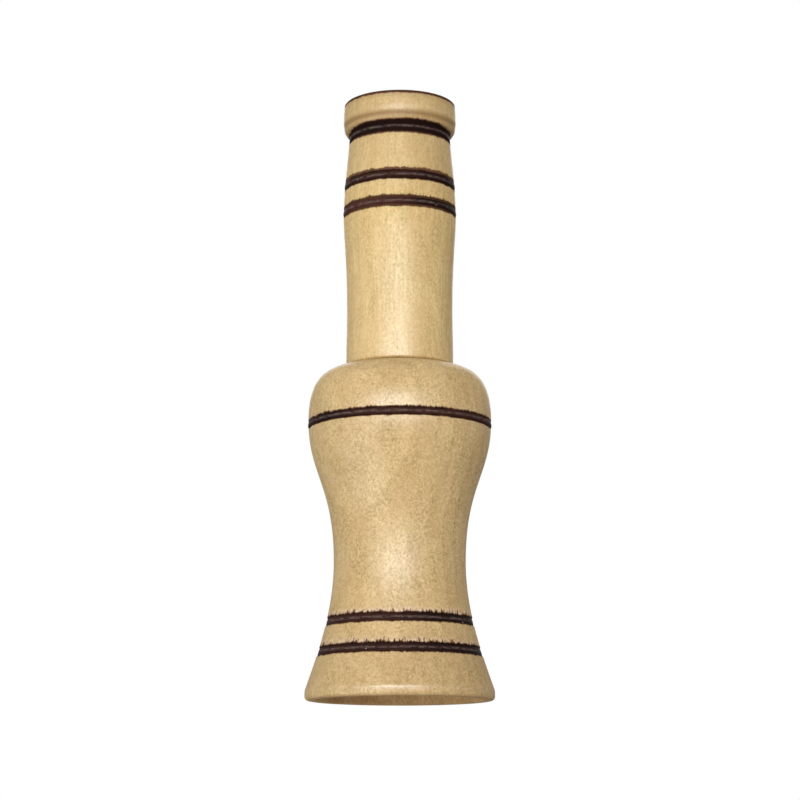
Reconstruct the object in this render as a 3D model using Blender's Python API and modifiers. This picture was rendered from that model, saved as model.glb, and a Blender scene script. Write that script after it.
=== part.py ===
"""A turned wooden fox call: a flared bell that carries a reed unit, and a mouthpiece that plugs over it.

The origin is the centre of the bell's rim, and +Z runs up the bore to the lip. Lengths are in metres.
"""

import math

import bmesh
import bpy
import numpy as np

MM = 0.001

# Clearances
SEAT_GAP = 0.3 * MM  # between faces that rest on each other
RING_GAP = 0.15 * MM  # on each side of a rubber ring
PLUG_GAP = 0.15 * MM  # toneboard plug in its socket, on the radius
TENON_GAP = 0.3 * MM  # tenon in the mouthpiece's bore, on the radius

# Reed unit, across its axis
DRILL_RADIUS = 2.1 * MM  # sound bore and trough, cut by one ball-ended drill
DRILL_OFFSET = 0.9 * MM  # drill's axis and flat tone face, behind the plug's axis
PLUG_WALL = 0.7 * MM  # sound bore to the floor of the plug's ring groove
PLUG_CORD = 1.0 * MM  # thickness of the plug's ring
TIP_DROP = 0.9 * MM  # how far the tone face curves away by its tip
TIP_ROUND = 2.0 * MM
PLUG_CHAMFER = 0.5 * MM
REED_WIDTH = 8.0 * MM
REED_THICKNESS = 0.35 * MM
REED_CORNER = 1.5 * MM
WEDGE_WIDTH = 6.6 * MM
WEDGE_THICKNESS = 2.6 * MM  # at the mouth of the notch
WEDGE_TAPER = 0.6 * MM  # thinner by this at the notch's floor

# Reed unit, along its axis
PLUG_FOOT = 16.7 * MM  # plug's end to the notch's floor
NOTCH_DEPTH = 11.0 * MM
NOTCH_RISE = 0.3 * MM  # tenon's top to the notch's floor
PLUG_RING_RISE = 6.0 * MM  # plug's end to the middle of its ring
TONGUE_LENGTH = 24.5 * MM
TROUGH_SETBACK = 6.5 * MM  # trough's end to the tongue's tip
REED_SETBACK = 0.5 * MM  # reed's tip to the tongue's tip
REED_TAIL = 7.0 * MM  # length under the wedge

# Bell
BELL_HEIGHT = 71.0 * MM  # rim to the seat of the mouthpiece
RIM_RADIUS = 20.0 * MM
RIM_ROUND = 1.3 * MM
RIM_LAND = 0.7 * MM  # width of the flat ring that it stands on
RIM_INNER_ROUND = 0.6 * MM
FLARE_ANGLE = math.radians(15)  # outer side at the rim, from the axis
HOLLOW_ANGLE = math.radians(24)  # inner side at the rim, from the axis
HOLLOW_DEPTH = 34.0 * MM  # rim to the start of the straight throat
WAIST_RADIUS = 14.0 * MM
WAIST_HEIGHT = 28.9 * MM
BELLY_RADIUS = 19.6 * MM
BELLY_DROP = 11.4 * MM  # seat to the widest point of the bulb
SHOULDER_FALL = 0.5 * MM  # slope of the shoulder beside the seat
SEAT_MARGIN = 0.25 * MM  # seat wider than the mouthpiece's foot
TENON_LENGTH = 10.7 * MM
TENON_WALL = 1.2 * MM  # socket to the floor of a ring groove
TENON_CORD = 1.5 * MM  # thickness of the tenon's rings
TENON_CHAMFER = 0.5 * MM
SOCKET_LEDGE = 1.0 * MM  # step that the plug sits on
UPPER_RING_DROP = 2.7 * MM  # tenon's top to the middle of the upper ring
LOWER_RING_RISE = 3.0 * MM  # seat to the middle of the lower ring

# Mouthpiece, with walls measured from the bore
MOUTHPIECE_LENGTH = 58.7 * MM
FOOT_WALL = 3.56 * MM
FOOT_CHAMFER = 0.3 * MM
FOOT_LEAD = 0.5 * MM  # chamfer that guides the tenon in
NECK_WALL = 3.43 * MM
NECK_RISE = 11.8 * MM  # foot to the thinnest point
SWELL_WALL = 4.24 * MM
SWELL_DROP = 26.2 * MM  # top to the swell
COLLAR_WALL = 2.99 * MM
COLLAR_DROP = 7.2 * MM  # top to the deepest point under the lip
LIP_WALL = 4.28 * MM
LIP_DROP = 4.5 * MM  # top to the lip's widest point
LIP_TOP_WALL = 4.15 * MM
LIP_EDGE = 0.3 * MM
MOUTH_FLARE = 1.2 * MM  # how far the bore widens at the lip
MOUTH_FLARE_DEPTH = 3.0 * MM

# Burnt beads, each between two fine cuts
BEAD_WIDTH = 2.0 * MM  # both cuts included
BEAD_CUT_WIDTH = 0.2 * MM
BEAD_CUT_DEPTH = 0.2 * MM
BEAD_RISE = 0.1 * MM  # crest above the wood, on the neck and bulb
FLARE_BEAD_SINK = 0.1 * MM  # crest below the wood, on the flare
RIM_BEAD_HEIGHT = 10.0 * MM
FLARE_BEAD_HEIGHT = 16.3 * MM
BELLY_BEAD_DROP = 12.6 * MM  # below the seat
SWELL_BEAD_DROP = 24.6 * MM  # below the top
NECK_BEAD_DROP = 18.5 * MM  # below the top

# Fineness of the meshes
TURN_STEPS = 40
PLUG_STEPS = 32
CORD_STEPS = 8
BEAD_STEPS = 4
SHARP_ANGLE = math.radians(35)
MERGE = 0.00001

# Sizes that follow from those above: nested fits, from the sound bore outwards
PLUG_GROOVE_RADIUS = DRILL_OFFSET + DRILL_RADIUS + PLUG_WALL
SOCKET_RADIUS = PLUG_GROOVE_RADIUS + PLUG_CORD + 2 * RING_GAP
PLUG_RADIUS = SOCKET_RADIUS - PLUG_GAP
THROAT_RADIUS = SOCKET_RADIUS - SOCKET_LEDGE
TENON_GROOVE_RADIUS = SOCKET_RADIUS + TENON_WALL
BORE_RADIUS = TENON_GROOVE_RADIUS + TENON_CORD + 2 * RING_GAP
TENON_RADIUS = BORE_RADIUS - TENON_GAP
FOOT_RADIUS = BORE_RADIUS + FOOT_WALL

# Levels along the axis
TENON_TOP = BELL_HEIGHT + TENON_LENGTH
PLUG_LENGTH = PLUG_FOOT + NOTCH_DEPTH
SOCKET_FLOOR = TENON_TOP + NOTCH_RISE - PLUG_FOOT - SEAT_GAP
MOUTHPIECE_FOOT = BELL_HEIGHT + SEAT_GAP

# Faces of the reed and wedge, measured back from the plug's axis
REED_BACK = DRILL_OFFSET - SEAT_GAP
REED_FRONT = REED_BACK - REED_THICKNESS
WEDGE_BACK = REED_FRONT - SEAT_GAP
WEDGE_FRONT = WEDGE_BACK - WEDGE_THICKNESS

# Turns a flat (x, y) outline so that it reads (y, z), or (x, z), in the object's frame
SIDE_VIEW = (math.pi / 2, 0, math.pi / 2)
FRONT_VIEW = (math.pi / 2, 0, 0)


def bezier(start, start_pull, end_pull, end, steps):
    """Points along a cubic curve, without its last. A pull is the vector from an end to its handle."""
    first = (start[0] + start_pull[0], start[1] + start_pull[1])
    second = (end[0] + end_pull[0], end[1] + end_pull[1])
    points = []
    for step in range(steps):
        t = step / steps
        weights = ((1 - t) ** 3, 3 * (1 - t) ** 2 * t, 3 * (1 - t) * t**2, t**3)
        handles = (start, first, second, end)
        points.append(tuple(sum(w * h[i] for w, h in zip(weights, handles)) for i in (0, 1)))
    return points


def arc(centre, radius, start_angle, end_angle, steps):
    """Points along a circular arc, both ends included."""
    angles = [start_angle + (end_angle - start_angle) * step / steps for step in range(steps + 1)]
    return [(centre[0] + radius * math.cos(a), centre[1] + radius * math.sin(a)) for a in angles]


def with_beads(outline, beads):
    """A (radius, height) outline that runs down, with a round bead at each (height, rise above the wood)."""
    half = BEAD_WIDTH / 2
    crown = half - BEAD_CUT_WIDTH
    levels = [height for _, height in reversed(outline)]
    radii = [radius for radius, _ in reversed(outline)]
    points = [point for point in outline if all(abs(point[1] - height) > half for height, _ in beads)]
    for height, rise in beads:
        offsets = [(-half, 0), (half, 0)]
        for step in range(BEAD_STEPS + 1):
            share = 2 * step / BEAD_STEPS - 1
            offsets.append((share * crown, rise - (rise + BEAD_CUT_DEPTH) * share**2))
        for along, out in offsets:
            wood = float(np.interp(height + along, levels, radii))
            points.append((wood + out, height + along))
    return sorted(points, key=lambda point: -point[1])


def ring_groove(surface, floor, middle, cord):
    """The four corners of a square groove for a rubber ring, from its upper edge down."""
    half = cord / 2 + RING_GAP
    upper = middle + half
    lower = middle - half
    return [(surface, upper), (floor, upper), (floor, lower), (surface, lower)]


def material(name, colour, roughness):
    """A plain surface of the given colour."""
    made = bpy.data.materials.new(name)
    made.use_nodes = True
    shader = made.node_tree.nodes["Principled BSDF"]
    shader.inputs["Base Color"].default_value = (*colour, 1)
    shader.inputs["Roughness"].default_value = roughness
    shader.inputs["Metallic"].default_value = 0
    return made


def place(obj, collection, parent, location):
    """Puts an object in one collection, at a place in its parent's frame."""
    for old in obj.users_collection:
        old.objects.unlink(obj)
    collection.objects.link(obj)
    obj.parent = parent
    obj.location = location


def settle(obj, surface):
    """Turns an object's modifiers into its mesh, with smooth rounds, crisp edges and its material."""
    graph = bpy.context.evaluated_depsgraph_get()
    mesh = bpy.data.meshes.new_from_object(obj.evaluated_get(graph))
    obj.modifiers.clear()
    obj.data = mesh
    mesh.shade_smooth()
    mesh.set_sharp_from_angle(angle=SHARP_ANGLE)
    mesh.materials.clear()
    mesh.materials.append(surface)


def turned(name, outline, steps, closed=True):
    """A solid turned about Z from a (radius, height) outline that runs down its outer side."""
    count = len(outline)
    edges = [(i, (i + 1) % count) for i in range(count if closed else count - 1)]
    mesh = bpy.data.meshes.new(name)
    mesh.from_pydata([(radius, 0, height) for radius, height in outline], edges, [])
    obj = bpy.data.objects.new(name, mesh)
    screw = obj.modifiers.new("Turn", "SCREW")
    screw.axis = "Z"
    screw.angle = 2 * math.pi
    screw.steps = steps
    screw.render_steps = steps
    screw.use_merge_vertices = True
    screw.merge_threshold = MERGE
    return obj


def extruded(name, outline, thickness, rotation):
    """A flat outline with a thickness, half to each side, as a closed mesh."""
    curve = bpy.data.curves.new(name, "CURVE")
    curve.dimensions = "2D"
    curve.fill_mode = "BOTH"
    curve.extrude = thickness / 2
    spline = curve.splines.new("POLY")
    spline.points.add(len(outline) - 1)
    for point, (x, y) in zip(spline.points, outline):
        point.co = (x, y, 0, 1)
    spline.use_cyclic_u = True
    flat = bpy.data.objects.new(name, curve)
    bpy.context.scene.collection.objects.link(flat)
    graph = bpy.context.evaluated_depsgraph_get()
    mesh = bpy.data.meshes.new_from_object(flat.evaluated_get(graph))
    bpy.data.objects.remove(flat)
    bpy.data.curves.remove(curve)
    shape = bmesh.new()
    shape.from_mesh(mesh)
    bmesh.ops.remove_doubles(shape, verts=shape.verts, dist=MERGE)
    bmesh.ops.recalc_face_normals(shape, faces=shape.faces)
    shape.to_mesh(mesh)
    shape.free()
    obj = bpy.data.objects.new(name, mesh)
    obj.rotation_euler = rotation
    return obj


def rubber_ring(name, outer_radius, cord, steps):
    """A ring of round rubber cord that lies flat."""
    bpy.ops.mesh.primitive_torus_add(
        major_radius=outer_radius - cord / 2,
        minor_radius=cord / 2,
        major_segments=steps,
        minor_segments=CORD_STEPS,
    )
    obj = bpy.context.object
    obj.name = name
    return obj


def subtract(obj, cutter, collection):
    """Cuts one shape from another with a live Boolean, and hides the cutter."""
    place(cutter, collection, obj.parent, cutter.location)
    cutter.hide_render = True
    cutter.display_type = "WIRE"
    cut = obj.modifiers.new(cutter.name, "BOOLEAN")
    cut.operation = "DIFFERENCE"
    cut.solver = "EXACT"
    cut.object = cutter


def bell_side():
    """The bell's outer side, from the seat over the bulb and waist down to the flat of the rim."""
    seat = (FOOT_RADIUS + SEAT_MARGIN, BELL_HEIGHT)
    belly = (BELLY_RADIUS, BELL_HEIGHT - BELLY_DROP)
    waist = (WAIST_RADIUS, WAIST_HEIGHT)
    rim = arc((RIM_RADIUS - RIM_ROUND, RIM_ROUND), RIM_ROUND, FLARE_ANGLE, -math.pi / 2, 5)
    start_of_rim = rim[0]
    shoulder_width = belly[0] - seat[0]
    bulb_length = belly[1] - waist[1]
    flare_length = waist[1] - start_of_rim[1]
    rim_pull = 0.28 * flare_length
    side = bezier(seat, (0.5 * shoulder_width, -SHOULDER_FALL), (0, 0.83 * BELLY_DROP), belly, 9)
    side += bezier(belly, (0, -0.38 * bulb_length), (0, 0.55 * bulb_length), waist, 10)
    side += bezier(
        waist,
        (0, -0.4 * flare_length),
        (-rim_pull * math.sin(FLARE_ANGLE), rim_pull * math.cos(FLARE_ANGLE)),
        start_of_rim,
        8,
    )
    beads = [
        (BELL_HEIGHT - BELLY_BEAD_DROP, BEAD_RISE),
        (FLARE_BEAD_HEIGHT, -FLARE_BEAD_SINK),
        (RIM_BEAD_HEIGHT, -FLARE_BEAD_SINK),
    ]
    return with_beads(side, beads) + rim


def bell_hollow():
    """The bell's inside, from the flat of the rim up the hollow and the throat to the socket's mouth."""
    land_edge = RIM_RADIUS - RIM_ROUND - RIM_LAND
    lip = arc(
        (land_edge, RIM_INNER_ROUND),
        RIM_INNER_ROUND,
        -math.pi / 2,
        HOLLOW_ANGLE - math.pi,
        3,
    )
    mouth = lip.pop()
    throat = (THROAT_RADIUS, HOLLOW_DEPTH)
    length = throat[1] - mouth[1]
    mouth_pull = 0.35 * length
    hollow = bezier(
        mouth,
        (-mouth_pull * math.sin(HOLLOW_ANGLE), mouth_pull * math.cos(HOLLOW_ANGLE)),
        (0, -0.27 * length),
        throat,
        9,
    )
    socket = [
        throat,
        (THROAT_RADIUS, SOCKET_FLOOR),
        (SOCKET_RADIUS, SOCKET_FLOOR),
        (SOCKET_RADIUS, TENON_TOP - TENON_CHAMFER),
        (SOCKET_RADIUS + TENON_CHAMFER, TENON_TOP),
    ]
    return lip + hollow + socket


def upper_ring_height():
    return TENON_TOP - UPPER_RING_DROP


def lower_ring_height():
    return BELL_HEIGHT + LOWER_RING_RISE


def make_bell(parts, surface):
    """The flared lower half: a tenon with two ring grooves, a bulb, a waist and a thin-rimmed flare."""
    tenon = [(TENON_RADIUS - TENON_CHAMFER, TENON_TOP), (TENON_RADIUS, TENON_TOP - TENON_CHAMFER)]
    for middle in (upper_ring_height(), lower_ring_height()):
        tenon += ring_groove(TENON_RADIUS, TENON_GROOVE_RADIUS, middle, TENON_CORD)
    tenon.append((TENON_RADIUS, BELL_HEIGHT))
    bell = turned("bell", tenon + bell_side() + bell_hollow(), TURN_STEPS)
    place(bell, parts, None, (0, 0, 0))
    settle(bell, surface)
    return bell


def mouthpiece_side():
    """The mouthpiece's outer side, from the top of the lip down the neck to its foot."""
    top = MOUTHPIECE_LENGTH
    edge = (BORE_RADIUS + LIP_TOP_WALL, top - LIP_EDGE)
    lip = (BORE_RADIUS + LIP_WALL, top - LIP_DROP)
    collar = (BORE_RADIUS + COLLAR_WALL, top - COLLAR_DROP)
    swell = (BORE_RADIUS + SWELL_WALL, top - SWELL_DROP)
    neck = (BORE_RADIUS + NECK_WALL, NECK_RISE)
    foot = (FOOT_RADIUS, FOOT_CHAMFER)
    crown = LIP_DROP - LIP_EDGE
    underside = collar[0] - lip[0]
    cone = (swell[0] - collar[0], swell[1] - collar[1])
    grip = swell[1] - neck[1]
    base = neck[1] - foot[1]
    side = arc((edge[0] - LIP_EDGE, edge[1]), LIP_EDGE, math.pi / 2, 0, 3)[:-1]
    side += bezier(edge, ((lip[0] - edge[0]) / 2, -crown / 3), (0, crown / 2), lip, 3)
    side += bezier(lip, (0, -0.5 * (lip[1] - collar[1])), (-0.6 * underside, -0.6 * underside), collar, 7)
    shaft = bezier(collar, (cone[0] / 3, cone[1] / 3), (0, -0.43 * cone[1]), swell, 6)
    shaft += bezier(swell, (0, -0.15 * grip), (0, 0.55 * grip), neck, 6)
    shaft += bezier(neck, (0, -base / 3), (0, base / 3), foot, 4)
    shaft += [foot, (FOOT_RADIUS - FOOT_CHAMFER, 0)]
    beads = [(top - NECK_BEAD_DROP, BEAD_RISE), (top - SWELL_BEAD_DROP, BEAD_RISE)]
    return side + with_beads(shaft, beads)


def make_mouthpiece(parts, bell, surface):
    """The neck and lip: a straight bore for the tenon, widened where the lips meet it."""
    flare_start = (BORE_RADIUS, MOUTHPIECE_LENGTH - MOUTH_FLARE_DEPTH)
    flare_end = (BORE_RADIUS + MOUTH_FLARE, MOUTHPIECE_LENGTH)
    bore = [(BORE_RADIUS + FOOT_LEAD, 0), (BORE_RADIUS, FOOT_LEAD)]
    bore += bezier(flare_start, (0, 0.6 * MOUTH_FLARE_DEPTH), (-0.5 * MOUTH_FLARE, 0), flare_end, 4)
    bore.append(flare_end)
    mouthpiece = turned("mouthpiece", mouthpiece_side() + bore, TURN_STEPS)
    place(mouthpiece, parts, bell, (0, 0, MOUTHPIECE_FOOT))
    settle(mouthpiece, surface)


def make_tenon_rings(parts, bell, surface):
    """Two rubber rings that grip the mouthpiece's bore."""
    for name, height in (("upper_o_ring", upper_ring_height()), ("lower_o_ring", lower_ring_height())):
        ring = rubber_ring(name, BORE_RADIUS - RING_GAP, TENON_CORD, TURN_STEPS)
        place(ring, parts, bell, (0, 0, height))
        settle(ring, surface)


def make_toneboard(parts, cutters, unit, surface):
    """The plug, notch and tongue: a turned rod, with the reed's space cut away and one drilled sound way."""
    tip = PLUG_LENGTH + TONGUE_LENGTH
    rod = [(0, tip)]
    rod += reversed(arc((PLUG_RADIUS - TIP_ROUND, tip - TIP_ROUND), TIP_ROUND, 0, math.pi / 2, 4))
    rod += ring_groove(PLUG_RADIUS, PLUG_GROOVE_RADIUS, PLUG_RING_RISE, PLUG_CORD)
    rod += [(PLUG_RADIUS, PLUG_CHAMFER), (PLUG_RADIUS - PLUG_CHAMFER, 0), (0, 0)]
    toneboard = turned("toneboard", rod, PLUG_STEPS, closed=False)
    place(toneboard, parts, unit, (0, 0, 0))

    clear = 2 * PLUG_RADIUS
    face_steps = 10
    face = []
    for step in range(face_steps + 1):
        share = step / face_steps
        face.append((DRILL_OFFSET + TIP_DROP * share**2, PLUG_LENGTH + share * TONGUE_LENGTH))
    past_tip = tip + clear
    space = [
        (WEDGE_FRONT - SEAT_GAP + WEDGE_TAPER, PLUG_FOOT),
        (DRILL_OFFSET, PLUG_FOOT),
        *face,
        (face[-1][0], past_tip),
        (-clear, past_tip),
        (-clear, PLUG_LENGTH),
        (WEDGE_FRONT - SEAT_GAP, PLUG_LENGTH),
    ]
    reed_space = extruded("reed_space", space, 2 * clear, SIDE_VIEW)
    subtract(toneboard, reed_space, cutters)

    trough_end = tip - TROUGH_SETBACK
    drill = [*reversed(arc((0, trough_end - DRILL_RADIUS), DRILL_RADIUS, 0, math.pi / 2, 5))]
    drill[0] = (0, trough_end)
    drill += [(DRILL_RADIUS, -clear), (0, -clear)]
    sound_way = turned("sound_way", drill, PLUG_STEPS, closed=False)
    sound_way.location = (0, DRILL_OFFSET, 0)
    subtract(toneboard, sound_way, cutters)
    settle(toneboard, surface)


def make_toneboard_ring(parts, unit, surface):
    """The rubber ring that seals the plug in its socket."""
    ring = rubber_ring("toneboard_o_ring", SOCKET_RADIUS - RING_GAP, PLUG_CORD, PLUG_STEPS)
    place(ring, parts, unit, (0, 0, PLUG_RING_RISE))
    settle(ring, surface)


def make_reed(parts, unit, surface):
    """A thin flat strip with a rounded tip. Its origin is the line where the wedge lets it go."""
    half = REED_WIDTH / 2
    free = TONGUE_LENGTH - REED_SETBACK
    outline = [(-half, -REED_TAIL), (half, -REED_TAIL)]
    outline += arc((half - REED_CORNER, free - REED_CORNER), REED_CORNER, 0, math.pi / 2, 5)
    outline += arc((REED_CORNER - half, free - REED_CORNER), REED_CORNER, math.pi / 2, math.pi, 5)
    reed = extruded("reed", outline, REED_THICKNESS, FRONT_VIEW)
    place(reed, parts, unit, (0, (REED_FRONT + REED_BACK) / 2, PLUG_LENGTH))
    settle(reed, surface)


def make_wedge(parts, unit, surface):
    """The tapered block that holds the reed's tail on the tone face."""
    floor = PLUG_FOOT + SEAT_GAP
    taper_at_floor = WEDGE_TAPER * (PLUG_LENGTH - floor) / NOTCH_DEPTH
    outline = [
        (WEDGE_FRONT + taper_at_floor, floor),
        (WEDGE_BACK, floor),
        (WEDGE_BACK, PLUG_LENGTH),
        (WEDGE_FRONT, PLUG_LENGTH),
    ]
    wedge = extruded("wedge", outline, WEDGE_WIDTH, SIDE_VIEW)
    place(wedge, parts, unit, (0, 0, 0))
    settle(wedge, surface)


def new_collection(name):
    made = bpy.data.collections.new(name)
    bpy.context.scene.collection.children.link(made)
    return made


def main():
    for obj in list(bpy.data.objects):
        bpy.data.objects.remove(obj)
    parts = new_collection("fox_call")
    cutters = new_collection("fox_call_cutters")

    bell = make_bell(parts, material("bell_wood", (0.58, 0.42, 0.21), 0.35))
    make_mouthpiece(parts, bell, material("mouthpiece_wood", (0.70, 0.54, 0.30), 0.35))
    make_tenon_rings(parts, bell, material("tenon_rubber", (0.02, 0.02, 0.02), 0.6))

    unit = bpy.data.objects.new("reed_unit", None)
    place(unit, parts, bell, (0, 0, SOCKET_FLOOR + SEAT_GAP))
    make_toneboard(parts, cutters, unit, material("toneboard_plastic", (0.03, 0.03, 0.035), 0.4))
    make_toneboard_ring(parts, unit, material("plug_rubber", (0.02, 0.02, 0.02), 0.6))
    make_reed(parts, unit, material("reed_film", (0.80, 0.80, 0.76), 0.3))
    make_wedge(parts, unit, material("wedge_cork", (0.45, 0.28, 0.14), 0.8))


main()
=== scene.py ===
"""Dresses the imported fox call: fine turned wood with burnt beads, rubber, cork, film and moulded plastic."""

import logging
import math
import operator
from collections.abc import Callable, Iterator, Sequence
from contextlib import contextmanager
from dataclasses import dataclass
from enum import Enum
from functools import cache

import bmesh
import bpy
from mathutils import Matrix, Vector

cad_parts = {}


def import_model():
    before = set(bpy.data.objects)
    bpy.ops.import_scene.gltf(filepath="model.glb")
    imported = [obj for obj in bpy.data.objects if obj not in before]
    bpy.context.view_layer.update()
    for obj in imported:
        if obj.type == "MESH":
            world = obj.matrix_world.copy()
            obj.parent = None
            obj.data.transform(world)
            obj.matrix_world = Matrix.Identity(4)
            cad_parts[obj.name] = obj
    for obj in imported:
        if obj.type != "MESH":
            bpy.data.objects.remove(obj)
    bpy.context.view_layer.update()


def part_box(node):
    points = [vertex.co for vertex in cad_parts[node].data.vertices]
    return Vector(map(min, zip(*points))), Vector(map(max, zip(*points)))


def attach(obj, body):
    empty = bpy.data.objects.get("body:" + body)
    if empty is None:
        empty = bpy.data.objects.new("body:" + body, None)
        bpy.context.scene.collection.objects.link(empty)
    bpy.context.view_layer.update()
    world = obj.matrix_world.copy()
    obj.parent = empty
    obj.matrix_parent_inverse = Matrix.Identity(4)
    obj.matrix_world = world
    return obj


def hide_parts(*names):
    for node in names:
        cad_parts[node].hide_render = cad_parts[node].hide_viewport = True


MM = 0.001
MERGE = 0.000001
NEAR = 0.01 * MM
FACES_INWARD = -0.2
FACES_DOWN = -0.8
FLOOR_OVERLAP = 2.3 * MM
LOG = logging.getLogger("fox_call")

Piece = bpy.types.Object
Face = bmesh.types.BMFace
FaceTest = Callable[[Face], bool]
Material = bpy.types.Material
Node = bpy.types.Node
Socket = bpy.types.NodeSocket
Tree = bpy.types.NodeTree
Point = tuple[float, float]
Triple = tuple[float, float, float]
Colour = Triple
Feed = Socket | float | Triple
Inputs = dict[str | int, Feed]


class Body(Enum):
    """The bodies that pieces ride on."""

    BELL = "bell"
    MOUTHPIECE = "mouthpiece"
    TENON_RINGS = "tenon_rings"
    REED_UNIT = "reed_unit"
    REED = "reed"


class Slot(Enum):
    """The record's material slots."""

    BELL_WOOD = "bell_wood"
    MOUTHPIECE_WOOD = "mouthpiece_wood"
    TENON_RUBBER = "tenon_rubber"
    TONEBOARD_PLASTIC = "toneboard_plastic"
    PLUG_RUBBER = "plug_rubber"
    REED_FILM = "reed_film"
    WEDGE_CORK = "wedge_cork"


class Element(Enum):
    """The elements of a mesh that an edit works on."""

    VERTICES = "VERT"
    EDGES = "EDGE"
    FACES = "FACE"


# Outlines


def bezier(start: Point, start_pull: Point, end_pull: Point, end: Point, steps: int) -> list[Point]:
    """Samples a cubic curve, without its last point.

    Args:
        start: First point, as (radius, height).
        start_pull: Vector from the first point to its handle.
        end_pull: Vector from the last point to its handle.
        end: Last point.
        steps: Number of points.

    Returns:
        The points from the start up to, but not including, the end.
    """
    first = tuple(map(operator.add, start, start_pull))
    last = tuple(map(operator.add, end, end_pull))
    points = []
    for step in range(steps):
        t = step / steps
        weights = ((1 - t) ** 3, 3 * (1 - t) ** 2 * t, 3 * (1 - t) * t**2, t**3)
        handles = zip(start, first, last, end)
        points.append(tuple(sum(map(operator.mul, weights, along)) for along in handles))
    return points


def arc(centre: Point, radius: float, start: float, end: float, steps: int) -> list[Point]:
    """Samples a circular arc in equal chords between two angles in radians, both ends included."""
    angles = [start + (end - start) * step / steps for step in range(steps + 1)]
    return [(centre[0] + radius * math.cos(a), centre[1] + radius * math.sin(a)) for a in angles]


def radius_at(outline: Sequence[Point], height: float) -> float:
    """Finds the radius of a falling outline at a height.

    Args:
        outline: Points that run down.
        height: Where to read it.

    Returns:
        The radius, read along the straight chord between two points.
    """
    for (upper_radius, upper), (lower_radius, lower) in zip(outline, outline[1:]):
        if lower <= height <= upper and upper > lower:
            share = (upper - height) / (upper - lower)
            return upper_radius + share * (lower_radius - upper_radius)
    raise ValueError(f"the outline does not reach {height}")


@dataclass(frozen=True)
class Bead:
    """A burnt half-round bead between two fine cuts."""

    height: float
    rise: float
    width: float = 2.0 * MM
    cut_width: float = 0.2 * MM
    cut_depth: float = 0.2 * MM
    steps: int = 12

    def offsets(self) -> list[Point]:
        """Gives the bead's shape.

        Returns:
            (height, radius) offsets from the plain wood, from the lower edge up.
        """
        half = self.width / 2
        crown = half - self.cut_width
        points = [(-half, 0.0)]
        for step in range(self.steps + 1):
            share = 2 * step / self.steps - 1
            points.append((share * crown, self.rise - (self.rise + self.cut_depth) * share**2))
        return [*points, (half, 0.0)]


def with_beads(outline: Sequence[Point], beads: Sequence[Bead]) -> list[Point]:
    """Sets beads into a falling outline.

    Args:
        outline: Points that run down.
        beads: What to set into it.

    Returns:
        The outline with each bead's own points in place of those it covers.
    """
    points = [p for p in outline if all(abs(p[1] - b.height) > b.width / 2 for b in beads)]
    for bead in beads:
        for along, out in bead.offsets():
            level = bead.height + along
            points.append((radius_at(outline, level) + out, level))
    return sorted(points, key=lambda point: -point[1])


@dataclass(frozen=True)
class Hairline:
    """A shallow rounded line that the turning tool left."""

    height: float
    half_width: float
    depth: float

    def depth_at(self, height: float) -> float:
        """Gives how deep the line is at a height."""
        away = abs(height - self.height) / self.half_width
        return self.depth * (1 + math.cos(math.pi * away)) / 2 if away < 1 else 0.0


def ring_groove(
    surface: float, floor: float, middle: float, half: float, edge: float = 0.08 * MM
) -> list[Point]:
    """Gives the corners of a square groove for a rubber ring, from its upper edge down.

    Args:
        surface: Radius of the piece.
        floor: Radius of the groove's floor.
        middle: Height of the groove's middle.
        half: Half the groove's width.
        edge: Width of its two broken edges.

    Returns:
        The corners.
    """
    upper = middle + half
    lower = middle - half
    return [
        (surface, upper + edge),
        (surface - edge, upper),
        (floor, upper),
        (floor, lower),
        (surface - edge, lower),
        (surface, lower - edge),
    ]


# Modelling by hand


def corners(node: str) -> tuple[Vector, Vector]:
    """Gives a node's lowest and highest corners at rest."""
    low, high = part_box(node)
    return Vector(low), Vector(high)


def start_fresh() -> None:
    """Leaves edit mode and deselects everything."""
    if bpy.context.mode != "OBJECT":
        bpy.ops.object.mode_set(mode="OBJECT")
    bpy.ops.object.select_all(action="DESELECT")


def pick(piece: Piece) -> None:
    """Makes a piece the active one and the only one selected.

    Args:
        piece: The piece.
    """
    start_fresh()
    bpy.context.view_layer.objects.active = piece
    piece.select_set(True)


@contextmanager
def editing(piece: Piece) -> Iterator[None]:
    """Opens a piece in edit mode with all of it selected, and closes it afterwards.

    Args:
        piece: The piece to edit.

    Yields:
        Nothing, while the piece is open.
    """
    pick(piece)
    bpy.ops.object.mode_set(mode="EDIT")
    bpy.ops.mesh.select_all(action="SELECT")
    yield
    bpy.ops.object.mode_set(mode="OBJECT")


def select(piece: Piece, element: Element, wanted: Callable[..., bool]) -> None:
    """Selects the vertices, edges or faces that pass a test, and nothing else.

    Args:
        piece: The piece in edit mode.
        element: What is selected.
        wanted: The test.
    """
    bpy.ops.mesh.select_mode(type=element.value)
    bpy.ops.mesh.select_all(action="DESELECT")
    mesh = bmesh.from_edit_mesh(piece.data)
    elements = {Element.VERTICES: mesh.verts, Element.EDGES: mesh.edges, Element.FACES: mesh.faces}
    for item in elements[element]:
        item.select_set(wanted(item))
    mesh.select_flush_mode()
    bmesh.update_edit_mesh(piece.data)


def turn_outwards() -> None:
    """Turns all faces of the piece in edit mode outwards."""
    bpy.ops.mesh.select_all(action="SELECT")
    bpy.ops.mesh.normals_make_consistent(inside=False)


def count_points_from(place: Vector) -> None:
    """Puts the selected points of the piece in edit mode in order of their distance from a place.

    Args:
        place: Where the count starts.
    """
    cursor = bpy.context.scene.cursor
    cursor.location = place
    bpy.ops.mesh.sort_elements(type="CURSOR_DISTANCE", elements={"VERT"})
    cursor.location = (0, 0, 0)


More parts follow.
